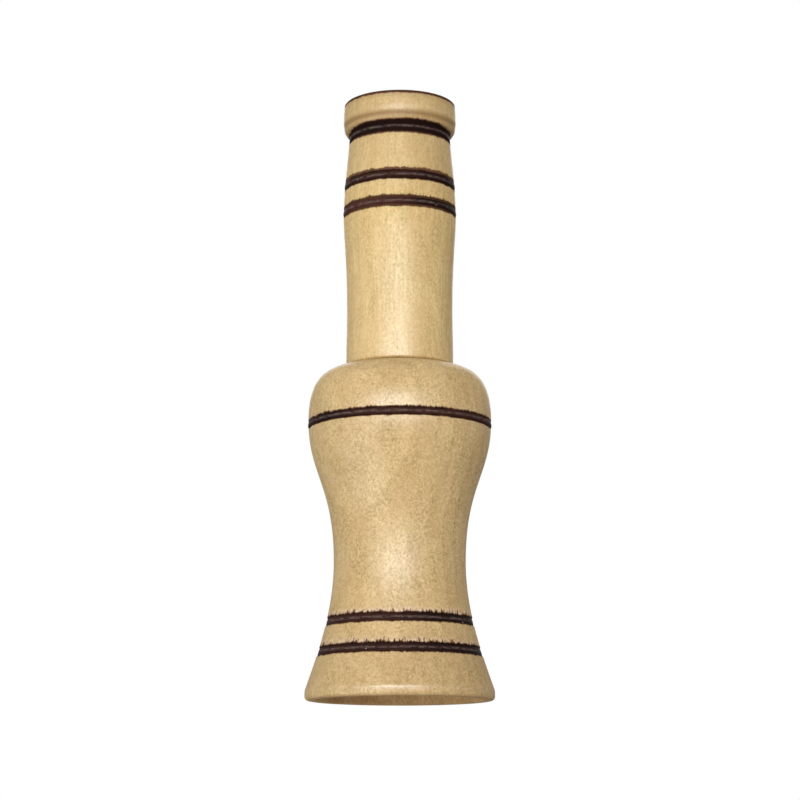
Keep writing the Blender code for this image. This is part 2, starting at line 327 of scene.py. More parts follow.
@contextmanager
def drawing(name: str, points: Sequence[Triple]) -> Iterator[Piece]:
    """Starts a piece as a line of edges, drawn point by point, and keeps it open in edit mode.

    Args:
        name: Name of the new piece.
        points: Where the line goes.

    Yields:
        The piece, with the whole line selected.
    """
    start_fresh()
    bpy.ops.mesh.primitive_plane_add(size=MM)
    piece = bpy.context.object
    piece.name = name
    with editing(piece):
        bpy.ops.mesh.select_mode(type="VERT")
        bpy.ops.mesh.merge(type="CENTER")
        bpy.ops.transform.translate(value=points[0])
        for start, end in zip(points, points[1:]):
            move = tuple(map(operator.sub, end, start))
            bpy.ops.mesh.extrude_vertices_move(TRANSFORM_OT_translate={"value": move})
        bpy.ops.mesh.select_all(action="SELECT")
        yield piece


def turn_on_lathe(name: str, outline: Sequence[Point], steps: int) -> Piece:
    """Turns an outline about the Z axis.

    Args:
        name: Name of the new piece.
        outline: (radius, height) points. A closed outline ends where it starts.
        steps: Sides of the turned piece.

    Returns:
        The piece, in object mode.
    """
    with drawing(name, [(radius, 0.0, height) for radius, height in outline]) as piece:
        bpy.ops.mesh.spin(steps=steps, angle=math.tau, center=(0, 0, 0), axis=(0, 0, 1))
        bpy.ops.mesh.select_all(action="SELECT")
        bpy.ops.mesh.remove_doubles(threshold=MERGE)
        turn_outwards()
    return piece


def extrude_outline(name: str, outline: Sequence[Point], width: float) -> Piece:
    """Fills a (y, z) outline and gives it a width along X, half to each side.

    Args:
        name: Name of the new shape.
        outline: Its corners, in order.
        width: Its width.

    Returns:
        The closed shape, in object mode.
    """
    with drawing(name, [(-width / 2, *point) for point in (*outline, outline[0])]) as piece:
        bpy.ops.mesh.remove_doubles(threshold=MERGE)
        bpy.ops.mesh.edge_face_add()
        bpy.ops.mesh.extrude_region_move(TRANSFORM_OT_translate={"value": (width, 0, 0)})
        turn_outwards()
    return piece


def outward(face: Face) -> float:
    """Says how far a face's normal points away from the Z axis.

    Args:
        face: A face of a turned piece.

    Returns:
        A share from -1 to 1.
    """
    place = face.calc_center_median()
    radius = math.hypot(place.x, place.y)
    if radius < MERGE:
        return 0.0
    return (face.normal.x * place.x + face.normal.y * place.y) / radius


def apply_modifier(piece: Piece, kind: str, **settings: object) -> None:
    """Gives a piece a modifier and applies it.

    Args:
        piece: The piece.
        kind: The modifier's type.
        **settings: The modifier's own settings.
    """
    pick(piece)
    modifier = piece.modifiers.new(kind.lower(), kind)
    for name, value in settings.items():
        setattr(modifier, name, value)
    bpy.ops.object.modifier_apply(modifier=modifier.name)


def cut_away(piece: Piece, cutter: Piece) -> None:
    """Cuts one closed shape from another and deletes the cutter."""
    apply_modifier(piece, "BOOLEAN", operation="DIFFERENCE", solver="EXACT", object=cutter)
    bpy.data.objects.remove(cutter)


def break_edges(piece: Piece, width: float, angle: float = math.radians(40)) -> None:
    """Rounds a piece's edges a little where they are sharper than an angle."""
    apply_modifier(piece, "BEVEL", width=width, segments=2, limit_method="ANGLE", angle_limit=angle)


def dress_faces(piece: Piece, main: Material, others: Sequence[tuple[Material, FaceTest]]) -> None:
    """Gives a piece one material, and some of its faces others.

    Args:
        piece: The piece.
        main: The material of most faces.
        others: Further materials, each with the test for its faces.
    """
    piece.data.materials.append(main)
    for index, (material, wanted) in enumerate(others, start=1):
        piece.data.materials.append(material)
        with editing(piece):
            select(piece, Element.FACES, wanted)
            piece.active_material_index = index
            bpy.ops.object.material_slot_assign()


def hand_over(piece: Piece, node: str, body: Body, smooth: float = 35) -> None:
    """Shades a finished piece, puts it in a node's place and ties it to a body.

    Args:
        piece: The finished piece.
        node: The node that it stands for.
        body: The body that it rides on.
        smooth: Edges flatter than this many degrees are shaded smooth.
    """
    pick(piece)
    bpy.ops.object.transform_apply(location=True, rotation=True, scale=True)
    bpy.ops.object.shade_smooth_by_angle(angle=math.radians(smooth))
    piece.select_set(False)
    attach(piece, body.value)
    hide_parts(node)
    LOG.info("%s stands for %s with %d faces", piece.name, node, len(piece.data.polygons))


# Shader nodes


class Graph:
    """Adds nodes to one shader tree and links them."""

    def __init__(self, tree: Tree) -> None:
        """Takes the tree to build in."""
        self.tree = tree

    def feed(self, node: Node, inputs: Inputs) -> None:
        """Links sockets to a node's inputs, or sets constants on them.

        Args:
            node: The node to feed.
            inputs: A socket, a number or a colour for each input, by its name or number.
        """
        for key, source in inputs.items():
            target = node.inputs[key]
            if isinstance(source, Socket):
                self.tree.links.new(source, target)
            elif isinstance(source, tuple) and target.type == "RGBA":
                target.default_value = (*source, 1)
            else:
                target.default_value = source

    def add(self, kind: str, inputs: Inputs | None = None, **settings: object) -> Node:
        """Adds one node.

        Args:
            kind: The node's type.
            inputs: What feeds its inputs.
            **settings: The node's own settings.

        Returns:
            The node.
        """
        node = self.tree.nodes.new(kind)
        for name, value in settings.items():
            setattr(node, name, value)
        self.feed(node, inputs or {})
        return node

    def group(self, tree: Tree, **inputs: Feed) -> dict[str, Socket]:
        """Adds a shared group and gives its outputs by name."""
        return dict(self.add("ShaderNodeGroup", inputs, node_tree=tree).outputs.items())

    def math(self, operation: str, *terms: Feed, clamp: bool = False) -> Socket:
        """Adds a Math node on some terms, with its result kept from 0 to 1 by clamp."""
        node = self.add("ShaderNodeMath", dict(enumerate(terms)), operation=operation, use_clamp=clamp)
        return node.outputs["Value"]

    def times(self, value: Feed, by: Feed) -> Socket:
        """Multiplies two values."""
        return self.math("MULTIPLY", value, by)

    def apart(self, value: Feed, other: Feed) -> Socket:
        """Gives how far apart two values are."""
        return self.math("ABSOLUTE", self.math("SUBTRACT", value, other))

    def vector(self, operation: str, *terms: Feed) -> Socket:
        """Adds a Vector Math node on some terms and gives the result that its operation has."""
        node = self.add("ShaderNodeVectorMath", dict(enumerate(terms)), operation=operation)
        return node.outputs["Value" if operation in ("LENGTH", "DOT_PRODUCT") else "Vector"]

    def stretched(self, position: Socket, scale: Feed, offset: Feed = (0.0, 0.0, 0.0)) -> Socket:
        """Scales a position along X, Y and Z, and shifts it afterwards."""
        return self.vector("MULTIPLY_ADD", position, scale, offset)

    def flat(self, position: Socket) -> Socket:
        """Lays a position down on the plane across the axis."""
        return self.stretched(position, (1.0, 1.0, 0.0))

    def axis(self, position: Socket, name: str) -> Socket:
        """Gives a position's X, Y or Z."""
        return self.add("ShaderNodeSeparateXYZ", {"Vector": position}).outputs[name]

    def position_mm(self) -> Socket:
        """Gives the place on the piece, in millimetres."""
        inputs = {"Vector": self.add("ShaderNodeTexCoord").outputs["Object"], "Scale": 1 / MM}
        return self.add("ShaderNodeVectorMath", inputs, operation="SCALE").outputs["Vector"]

    def between(self, value: Feed, low: Feed, high: Feed) -> Socket:
        """Maps a value smoothly to 0 at low and 1 at high, which may be the smaller."""
        inputs = {"Value": value, "From Min": low, "From Max": high}
        return self.add("ShaderNodeMapRange", inputs, interpolation_type="SMOOTHSTEP").outputs["Result"]

    def spread(self, value: Feed, low: float, high: float) -> Socket:
        """Stretches a value from 0 to 1 over the range from low to high."""
        inputs = {"Value": value, "To Min": low, "To Max": high}
        return self.add("ShaderNodeMapRange", inputs).outputs["Result"]

    def mix(self, factor: Feed, under: Feed, over: Feed) -> Socket:
        """Lays one colour over another, as far as the factor says."""
        inputs = {"Factor": factor, 6: under, 7: over}
        return self.add("ShaderNodeMix", inputs, data_type="RGBA").outputs[2]

    def bump(self, height: Socket, strength: float, depth: float) -> Socket:
        """Bends the normal by a height, whose depth is in metres."""
        inputs = {"Height": height, "Strength": strength, "Distance": depth}
        return self.add("ShaderNodeBump", inputs).outputs["Normal"]

    def weigh(self, *terms: tuple[Socket, float]) -> Socket:
        """Adds up values, each times its weight, and keeps the sum from 0 to 1.

        Args:
            *terms: Values and their weights.

        Returns:
            The sum.
        """
        total: Feed = 0.0
        for value, weight in terms:
            total = self.math("MULTIPLY_ADD", value, weight, total)
        return self.math("ADD", total, 0.0, clamp=True)

    def noise(
        self,
        position: Socket,
        scale: Triple,
        offset: Triple = (0.0, 0.0, 0.0),
        detail: float = 2.0,
        roughness: float = 0.5,
        curl: float = 0.0,
    ) -> Socket:
        """Adds soft noise.

        Args:
            position: Where to read it.
            scale: Features per unit of position, along X, Y and Z.
            offset: Shifts it, so that no two are alike.
            detail: Finer layers.
            roughness: How strong the finer layers are.
            curl: How far the features wind about.

        Returns:
            A value about 0.5.
        """
        inputs = {
            "Vector": self.stretched(position, scale, offset),
            "Scale": 1.0,
            "Detail": detail,
            "Roughness": roughness,
            "Distortion": curl,
        }
        return self.add("ShaderNodeTexNoise", inputs).outputs["Fac"]


def new_group(
    name: str, vectors: Sequence[str], values: Sequence[str], outputs: Sequence[str]
) -> tuple[Graph, dict[str, Socket], Node]:
    """Starts a shader node group.

    Args:
        name: Its name.
        vectors: Names of its vector inputs.
        values: Names of its number inputs.
        outputs: Names of the numbers that it puts out.

    Returns:
        Its graph, what it is given by name, and its output node.
    """
    tree = bpy.data.node_groups.new(name, "ShaderNodeTree")
    sides = (
        (vectors, "INPUT", "NodeSocketVector"),
        (values, "INPUT", "NodeSocketFloat"),
        (outputs, "OUTPUT", "NodeSocketFloat"),
    )
    for sockets, side, kind in sides:
        for socket in sockets:
            tree.interface.new_socket(socket, in_out=side, socket_type=kind)
    graph = Graph(tree)
    given = graph.add("NodeGroupInput")
    return graph, dict(given.outputs.items()), graph.add("NodeGroupOutput")


@cache
def grain_group() -> Tree:
    """Makes the figure of close-grained wood: growth rings, fibres, fine curls, specks and broad tones.

    Returns:
        The group. Its position is in millimetres, with the grain along Z.
    """
    outputs = ("mottle", "warmth", "rings", "fibre", "figure", "speck")
    graph, given, made = new_group("wood_grain", ("position", "pith"), ("ring_width", "along"), outputs)
    place = given["position"]
    broad = graph.noise(place, (0.16, 0.16, 0.07))
    blush = graph.noise(place, (0.3, 0.3, 0.11), (9.0, 41.0, 5.0))

    sway = graph.noise(place, (0.05, 0.05, 0.02))
    distance = graph.vector("LENGTH", graph.flat(graph.vector("SUBTRACT", place, given["pith"])))
    wandering = graph.math("MULTIPLY_ADD", sway, 5.0, distance)
    phase = graph.math("FRACT", graph.math("DIVIDE", wandering, given["ring_width"]))
    late_wood = graph.times(graph.between(phase, 0.25, 0.9), graph.between(phase, 1.0, 0.93))

    threads = graph.noise(place, (1.9, 1.9, 0.16), detail=3.0, roughness=0.6)
    along = graph.add("ShaderNodeCombineXYZ", {"X": 1.0, "Y": 1.0, "Z": given["along"]})
    drawn_out = graph.stretched(place, along.outputs["Vector"])
    winding = graph.noise(drawn_out, (0.95, 0.95, 0.95), (31.0, 7.0, 3.0), detail=1.5, curl=1.1)
    lines = graph.between(graph.apart(winding, 0.5), 0.0, 0.13)
    stipple = graph.noise(drawn_out, (2.2, 2.2, 2.2), (6.0, 71.0, 13.0), 1.5, 0.6, 0.4)
    dots = graph.noise(place, (1.5, 1.5, 0.8), (3.0, 53.0, 11.0), detail=0.0)
    masks = {
        "mottle": graph.between(broad, 0.3, 0.7),
        "warmth": graph.between(blush, 0.35, 0.68),
        "rings": late_wood,
        "fibre": graph.between(threads, 0.3, 0.7),
        "figure": graph.weigh((lines, 0.5), (graph.between(stipple, 0.34, 0.66), 0.5)),
        "speck": graph.between(dots, 0.8, 0.88),
    }
    graph.feed(made, masks)
    return graph.tree


BURN_LENGTHS = ("height", "half_width", "creep", "singe_above", "singe_below", "inner_radius", "side_loss")


@cache
def scorch_group() -> Tree:
    """Makes one burnt ring round a turned piece, with char that creeps up the grain and chipped edges.

    Returns:
        The group. Lengths are in millimetres.
    """
    graph, given, made = new_group("burnt_ring", ("position",), BURN_LENGTHS, ("char", "singe", "chips"))
    place = given["position"]
    creep = given["creep"]
    inner = given["inner_radius"]
    soft = 0.16
    above = graph.math("SUBTRACT", graph.axis(place, "Z"), given["height"])
    below = graph.times(above, -1.0)
    flat = graph.flat(place)
    radius = graph.vector("LENGTH", flat)
    outside = graph.between(radius, graph.math("SUBTRACT", inner, 0.25), graph.math("ADD", inner, 0.1))

    jagged = graph.noise(place, (2.6, 2.6, 0.14), (5.0, 2.0, 0.0), roughness=0.65)
    spikes = graph.math("POWER", graph.between(jagged, 0.36, 0.74), 1.5)
    crept = graph.times(spikes, creep)
    sideways = graph.math("ABSOLUTE", graph.axis(graph.vector("NORMALIZE", flat), "X"))
    # Here it is only the char worn away towards the sides.
    wear_and_sheen = graph.times(graph.math("POWER", sideways, 6.0), given["side_loss"])

    def edge_of_burn(offset: Triple, spike_share: float) -> Socket:
        """Gives the ragged distance from the ring's middle to where the char ends.

        Args:
            offset: Shifts the raggedness, so that the two edges differ.
            spike_share: How much of the creep shows at this edge.

        Returns:
            The distance.
        """
        waves = graph.noise(place, (0.55, 0.55, 0.1), offset, 3.0, 0.65)
        sway = graph.math("SUBTRACT", waves, 0.5)
        reach = graph.math("MULTIPLY_ADD", sway, 0.75, given["half_width"])
        return graph.math("MULTIPLY_ADD", crept, spike_share, reach)

    def within(up: Socket, down: Socket) -> Socket:
        """Says where the wood lies between two soft edges.

        Args:
            up: Distance from the ring's middle to its upper edge.
            down: Distance to its lower edge.

        Returns:
            The mask.
        """
        masks = []
        for away, edge in ((above, up), (below, down)):
            ends = (graph.math(operation, edge, soft) for operation in ("ADD", "SUBTRACT"))
            masks.append(graph.between(away, *ends))
        return graph.times(graph.times(*masks), outside)

    top = graph.math("SUBTRACT", edge_of_burn((17.0, 9.0, 0.0), 0.5), wear_and_sheen)
    bottom = edge_of_burn((2.0, 33.0, 0.0), 0.2)
    stain = graph.noise(place, (0.9, 0.9, 0.25), (8.0, 19.0, 2.0), 3.0, 0.7)
    bleed = graph.spread(graph.between(stain, 0.3, 0.7), 0.65, 1.35)
    bled_up = graph.math("MULTIPLY_ADD", bleed, given["singe_above"], top)
    brown_top = graph.math("MULTIPLY_ADD", crept, 0.6, bled_up)
    brown_low = graph.math("MULTIPLY_ADD", bleed, given["singe_below"], bottom)

    past = graph.math("SUBTRACT", above, top)
    near = graph.times(graph.between(past, 1.5, 0.1), graph.between(past, -0.2, 0.1))
    torn = graph.noise(place, (2.2, 2.2, 0.5), (0.0, 23.0, 4.0), detail=1.0)
    chips = graph.times(near, graph.between(torn, 0.36, 0.6))
    masks = {
        "char": within(top, bottom),
        "singe": within(brown_top, brown_low),
        "chips": graph.times(chips, graph.between(creep, 0.4, 0.8)),
    }
    graph.feed(made, masks)
    return graph.tree


@cache
def handling_group() -> Tree:
    """Makes the marks of use on small pieces: settled dust, fine scratches and a slow unevenness.

    Returns:
        The group. Its position is in millimetres.
    """
    graph, given, made = new_group("handling_marks", ("position",), (), ("dust", "scratches", "uneven"))
    place = given["position"]
    specks = graph.noise(place, (6.0, 6.0, 6.0), roughness=0.7)
    lines = graph.noise(place, (0.5, 3.0, 9.0), (4.0, 8.0, 2.0))
    masks = {
        "dust": graph.between(specks, 0.6, 0.76),
        "scratches": graph.between(lines, 0.6, 0.68),
        "uneven": graph.noise(place, (0.5, 0.5, 0.5)),
    }
    graph.feed(made, masks)
    return graph.tree


def new_material(name: str) -> tuple[Material, Graph, Node]:
    """Starts a node material.

    Args:
        name: Its name.

    Returns:
        The material, its graph and its Principled shader.
    """
    material = bpy.data.materials.new(name)
    material.use_nodes = True
    graph = Graph(material.node_tree)
    return material, graph, material.node_tree.nodes["Principled BSDF"]


# Finishes


@dataclass(frozen=True)
class Scorch:
    """One burnt ring on the wood, in millimetres."""

    height: float
    half_width: float
    creep: float = 0.2
    singe_above: float = 0.15
    singe_below: float = 0.15
    inner_radius: float = 0.0
    side_loss: float = 0.0
    strength: float = 1.0
    core: float = 0.8
    red: float = 0.4
    red_side: float = 0.0

    def covers(self, face: Face) -> bool:
        """Says whether a face lies in the ring's charred core."""
        return abs(face.calc_center_median().z / MM - self.height) < self.core

    def masks(self, graph: Graph, place: Socket) -> dict[str, Socket]:
        """Adds the burn to a material and gives its masks by name."""
        lengths = {name: getattr(self, name) for name in BURN_LENGTHS}
        return graph.group(scorch_group(), position=place, **lengths)


@dataclass(frozen=True)
class GlossAndShadeRing:
    """A ring of darker colour and of thicker or thinner lacquer, in millimetres; under the lip the darker
    colour is painted shade.
    """

    height: float
    half_width: float
    shade_and_tone: float = 0.0
    gloss: float = 0.0


@dataclass(frozen=True)
class Growth:
    """How the tree grew, in millimetres: where its pith lies, its rings and how drawn out its figure is."""

    pith: Triple
    ring_width: float
    along: float

    def masks(self, graph: Graph, place: Socket) -> dict[str, Socket]:
        """Adds the grain to a material and gives its masks by name."""
        growth = {"pith": self.pith, "ring_width": self.ring_width, "along": self.along}
        return graph.group(grain_group(), position=place, **growth)


@dataclass(frozen=True)
class BareWood:
    """Bare wood as the drill and the parting tool leave it, with fine rings round the axis."""

    name: str
    pale: Colour
    deep: Colour
    growth: Growth

    def material(self) -> Material:
        """Makes the material.

        Returns:
            The material.
        """
        material, graph, shader = new_material(self.name)
        place = graph.position_mm()
        grain = self.growth.masks(graph, place)
        tool_rings = graph.noise(place, (0.05, 0.05, 3.2), roughness=0.6)
        ringed = graph.between(tool_rings, 0.45, 0.7)
        tone = graph.weigh((grain["fibre"], 0.45), (grain["mottle"], 0.3), (ringed, 0.12))
        heights = graph.math("MULTIPLY_ADD", grain["fibre"], 0.3, tool_rings)
        looks = {
            "Base Color": graph.mix(tone, self.pale, self.deep),
            "Roughness": graph.spread(tool_rings, 0.6, 0.8),
            "Normal": graph.bump(heights, 0.4, 0.08 * MM),
            "Specular IOR Level": 0.1,
        }
        graph.feed(shader, looks)
        return material


@dataclass(frozen=True)
class LacqueredWood:
    """Pale close-grained wood under an uneven satin lacquer, with burnt rings and darker rings, some of them
    painted shade.
    """

    name: str
    pale: Colour
    deep: Colour
    warm: Colour
    growth: Growth
    fibre: float
    figure: float
    scorches: tuple[Scorch, ...]
    gloss_and_shade_rings: tuple[GlossAndShadeRing, ...]
    speck: Colour = (0.22, 0.13, 0.06)
    chip: Colour = (0.76, 0.58, 0.45)
    singed: Colour = (0.12, 0.045, 0.027)
    char: Colour = (0.016, 0.007, 0.005)
    # The colour that the darker rings mix in; under the lip it is painted shade.
    shade_and_tone: Colour = (0.30, 0.175, 0.075)

    def material(self) -> Material:
        """Makes the material.

        Returns:
            The material.
        """
        material, graph, shader = new_material(self.name)
        place = graph.position_mm()
        grain = self.growth.masks(graph, place)
        fibre = grain["fibre"]
        figure = grain["figure"]
        slow = ((grain["mottle"], 0.2), (grain["rings"], 0.1))
        tone = graph.weigh(*slow, (fibre, self.fibre), (figure, self.figure))
        colour = graph.mix(tone, self.pale, self.deep)
        colour = graph.mix(graph.times(grain["warmth"], 0.45), colour, self.warm)
        colour = graph.mix(graph.times(grain["speck"], 0.4), colour, self.speck)

        level = graph.axis(place, "Z")
        lacquer = graph.spread(figure, 0.185, 0.08)
        # Each ring mixes in the darker colour and changes the lacquer's weight; the dark rings under the lip
        # are painted shade.
        for tone_ring in self.gloss_and_shade_rings:
            depth = graph.between(graph.apart(level, tone_ring.height), tone_ring.half_width, 0.0)
            colour = graph.mix(graph.times(depth, tone_ring.shade_and_tone), colour, self.shade_and_tone)
            lacquer = graph.math("MULTIPLY_ADD", depth, tone_ring.gloss, lacquer, clamp=True)

        singe: Feed = 0.0
        for scorch in self.scorches:
            burn = scorch.masks(graph, place)
            colour = graph.mix(graph.times(burn["chips"], 0.75), colour, self.chip)
            colour = graph.mix(graph.times(burn["singe"], 0.92), colour, self.singed)
            colour = graph.mix(graph.times(burn["char"], scorch.strength), colour, self.char)
            singe = graph.math("MAXIMUM", singe, burn["singe"])

        skin = graph.weigh((fibre, 0.4), (figure, 0.6))
        looks = {
            "Base Color": colour,
            "Roughness": graph.math("MAXIMUM", graph.spread(skin, 0.32, 0.46), singe),
            "Normal": graph.bump(skin, 0.25, 0.05 * MM),
            "Specular IOR Level": 0.02,
            "Coat Weight": graph.times(lacquer, graph.math("SUBTRACT", 1.0, singe)),
            "Coat Roughness": 0.3,
            "Coat IOR": 3.2,
        }
        graph.feed(shader, looks)
        return material

    def bare(self, part: str, tint: Colour) -> BareWood:
        """Gives the same wood on an unlacquered part, with its colours times a tint."""
        pale, deep = (tuple(map(operator.mul, colour, tint)) for colour in (self.pale, self.deep))
        return BareWood(f"{self.name}_{part}", pale, deep, self.growth)


@dataclass(frozen=True)
class BurntWood:
    """Charred beads: crazed and near black, redder to one side, with a painted grey sheen along their crests.
    """

    name: str
    scorches: tuple[Scorch, ...]
    char: Colour = (0.014, 0.007, 0.0055)
    lighter: Colour = (0.085, 0.030, 0.020)
    # The grey painted on the crests as their sheen.
    wear_and_sheen: Colour = (0.150, 0.104, 0.093)
    worn: Colour = (0.42, 0.33, 0.26)

    def material(self) -> Material:
        """Makes the material.

        Returns:
            The material.
        """
        material, graph, shader = new_material(self.name)
        place = graph.position_mm()
        level = graph.axis(place, "Z")
        facing = graph.vector("NORMALIZE", graph.flat(place))
        from_crest: Feed = 1.0
        red: Feed = 0.0
        for scorch in self.scorches:
            away = graph.apart(level, scorch.height)
            from_crest = graph.math("MINIMUM", from_crest, away)
            turn = math.radians(scorch.red_side)
            toward = graph.vector("DOT_PRODUCT", facing, (math.sin(turn), -math.cos(turn), 0.0))
            redder = graph.times(graph.between(toward, 0.2, 0.95), scorch.red)
            red = graph.math("MULTIPLY_ADD", graph.between(away, 2.2, 1.8), redder, red)

        patches = graph.noise(place, (0.5, 0.5, 0.6), (2.0, 6.0, 1.0), 3.0, 0.6)
        threads = graph.noise(place, (3.2, 3.2, 0.9), roughness=0.6)
        streaks = graph.noise(place, (0.7, 0.7, 2.4), (21.0, 4.0, 7.0), 3.0, 0.7)
        specks = graph.noise(place, (0.8, 0.8, 0.9), (13.0, 3.0, 8.0), detail=1.0)
        red = graph.times(red, graph.spread(graph.between(patches, 0.35, 0.65), 0.55, 1.0))
        red = graph.weigh((red, 1.0), (graph.between(threads, 0.45, 0.75), 0.12))
        # Painted sheen: grey streaks along each bead's crest stand in for its highlight.
        crest_sheen = graph.times(graph.between(from_crest, 0.42, 0.05), graph.between(streaks, 0.32, 0.66))
        colour = graph.mix(red, self.char, self.lighter)
        colour = graph.mix(graph.times(crest_sheen, 0.8), colour, self.wear_and_sheen)
        crazing = graph.math("MULTIPLY_ADD", streaks, 0.7, threads)
        looks = {
            "Base Color": graph.mix(graph.between(specks, 0.77, 0.82), colour, self.worn),
            "Roughness": graph.spread(streaks, 0.55, 0.38),
            "Normal": graph.bump(crazing, 0.5, 0.08 * MM),
            "Specular IOR Level": 0.02,
        }
        graph.feed(shader, looks)
        return material


@dataclass(frozen=True)
class Rubber:
    """Black moulded rubber with a bloom of dust."""

    name: str
    black: Colour = (0.018, 0.018, 0.019)
    bloom: Colour = (0.075, 0.073, 0.070)

    def material(self) -> Material:
        """Makes the material.

        Returns:
            The material.
        """
        material, graph, shader = new_material(self.name)
        marks = graph.group(handling_group(), position=graph.position_mm())
        bloom = graph.weigh((graph.between(marks["uneven"], 0.35, 0.75), 0.5), (marks["dust"], 0.5))
        looks = {
            "Base Color": graph.mix(bloom, self.black, self.bloom),
            "Roughness": graph.spread(bloom, 0.42, 0.72),
            "Normal": graph.bump(marks["dust"], 0.15, 0.02 * MM),
        }
        graph.feed(shader, looks)
        return material


@dataclass(frozen=True)
class MouldedPlastic:
    """Dark hard plastic with a fine satin skin and tooling scratches."""

    name: str
    dark: Colour = (0.022, 0.022, 0.025)
    worn: Colour = (0.070, 0.070, 0.075)

    def material(self) -> Material:
        """Makes the material.

        Returns:
            The material.
        """
        material, graph, shader = new_material(self.name)
        marks = graph.group(handling_group(), position=graph.position_mm())
        wear = graph.weigh((marks["scratches"], 0.35), (marks["dust"], 0.2), (marks["uneven"], 0.2))
        skin = graph.math("SUBTRACT", marks["uneven"], marks["scratches"])
        looks = {
            "Base Color": graph.mix(wear, self.dark, self.worn),
            "Roughness": graph.spread(wear, 0.28, 0.55),
            "Normal": graph.bump(skin, 0.12, 0.03 * MM),
        }
        graph.feed(shader, looks)
        return material


@dataclass(frozen=True)
class Film:
    """Milky plastic film, sanded thin along its length."""

    name: str
    milky: Colour = (0.78, 0.79, 0.75)
    clouded: Colour = (0.66, 0.68, 0.63)

    def material(self) -> Material:
        """Makes the material.

        Returns:
            The material.
        """
        material, graph, shader = new_material(self.name)
        place = graph.position_mm()
        marks = graph.group(handling_group(), position=place)
        sanding = graph.noise(place, (7.0, 1.0, 0.25), roughness=0.6)
        cloud = graph.weigh((graph.between(sanding, 0.35, 0.7), 0.6), (marks["uneven"], 0.4))
        looks = {
            "Base Color": graph.mix(cloud, self.milky, self.clouded),
            "Roughness": graph.spread(sanding, 0.16, 0.34),
            "Normal": graph.bump(sanding, 0.1, 0.01 * MM),
            "Subsurface Weight": 0.25,
            "Subsurface Scale": 0.4 * MM,
        }
        graph.feed(shader, looks)
        return material


@dataclass(frozen=True)
class Cork:
    """Cut cork: tan grains, dark seams and small open pits."""

    name: str
    tan: Colour = (0.48, 0.29, 0.14)
    pale: Colour = (0.60, 0.40, 0.22)
    seam: Colour = (0.13, 0.06, 0.025)

    def material(self) -> Material:
        """Makes the material.

        Returns:
            The material.
        """
        material, graph, shader = new_material(self.name)
        place = graph.position_mm()
        marks = graph.group(handling_group(), position=place)
        grains = {"Vector": place, "Scale": 1.4}
        cells = graph.add("ShaderNodeTexVoronoi", grains, feature="F1")
        seams = graph.add("ShaderNodeTexVoronoi", grains, feature="DISTANCE_TO_EDGE")
        crack = graph.between(seams.outputs["Distance"], 0.09, 0.01)
        pits = graph.between(graph.noise(place, (1.1, 1.1, 1.1), detail=3.0, roughness=0.7), 0.62, 0.7)
        shade = graph.add("ShaderNodeSeparateColor", {"Color": cells.outputs["Color"]}).outputs["Red"]
        colour = graph.mix(shade, self.tan, self.pale)
        for mask, share, over in ((marks["uneven"], 0.4, self.tan), (crack, 0.6, self.seam)):
            colour = graph.mix(graph.times(mask, share), colour, over)
        dips = graph.times(graph.math("ADD", crack, pits), -1.0)
        looks = {
            "Base Color": graph.mix(graph.times(pits, 0.8), colour, self.seam),
            "Roughness": graph.spread(shade, 0.78, 0.92),
            "Normal": graph.bump(dips, 0.6, 0.12 * MM),
        }
        graph.feed(shader, looks)
        return material


# Sub-assemblies


@dataclass(frozen=True)
class Fits:
    """Radii that the nested pieces share, and the room beside a ring in its groove."""

    socket: float = 5.0 * MM
    throat: float = 4.0 * MM
    tenon_groove: float = 6.2 * MM
    bore: float = 8.0 * MM
    tenon: float = 7.7 * MM
    foot: float = 11.56 * MM
    plug_groove: float = 3.7 * MM
    ring_gap: float = 0.15 * MM


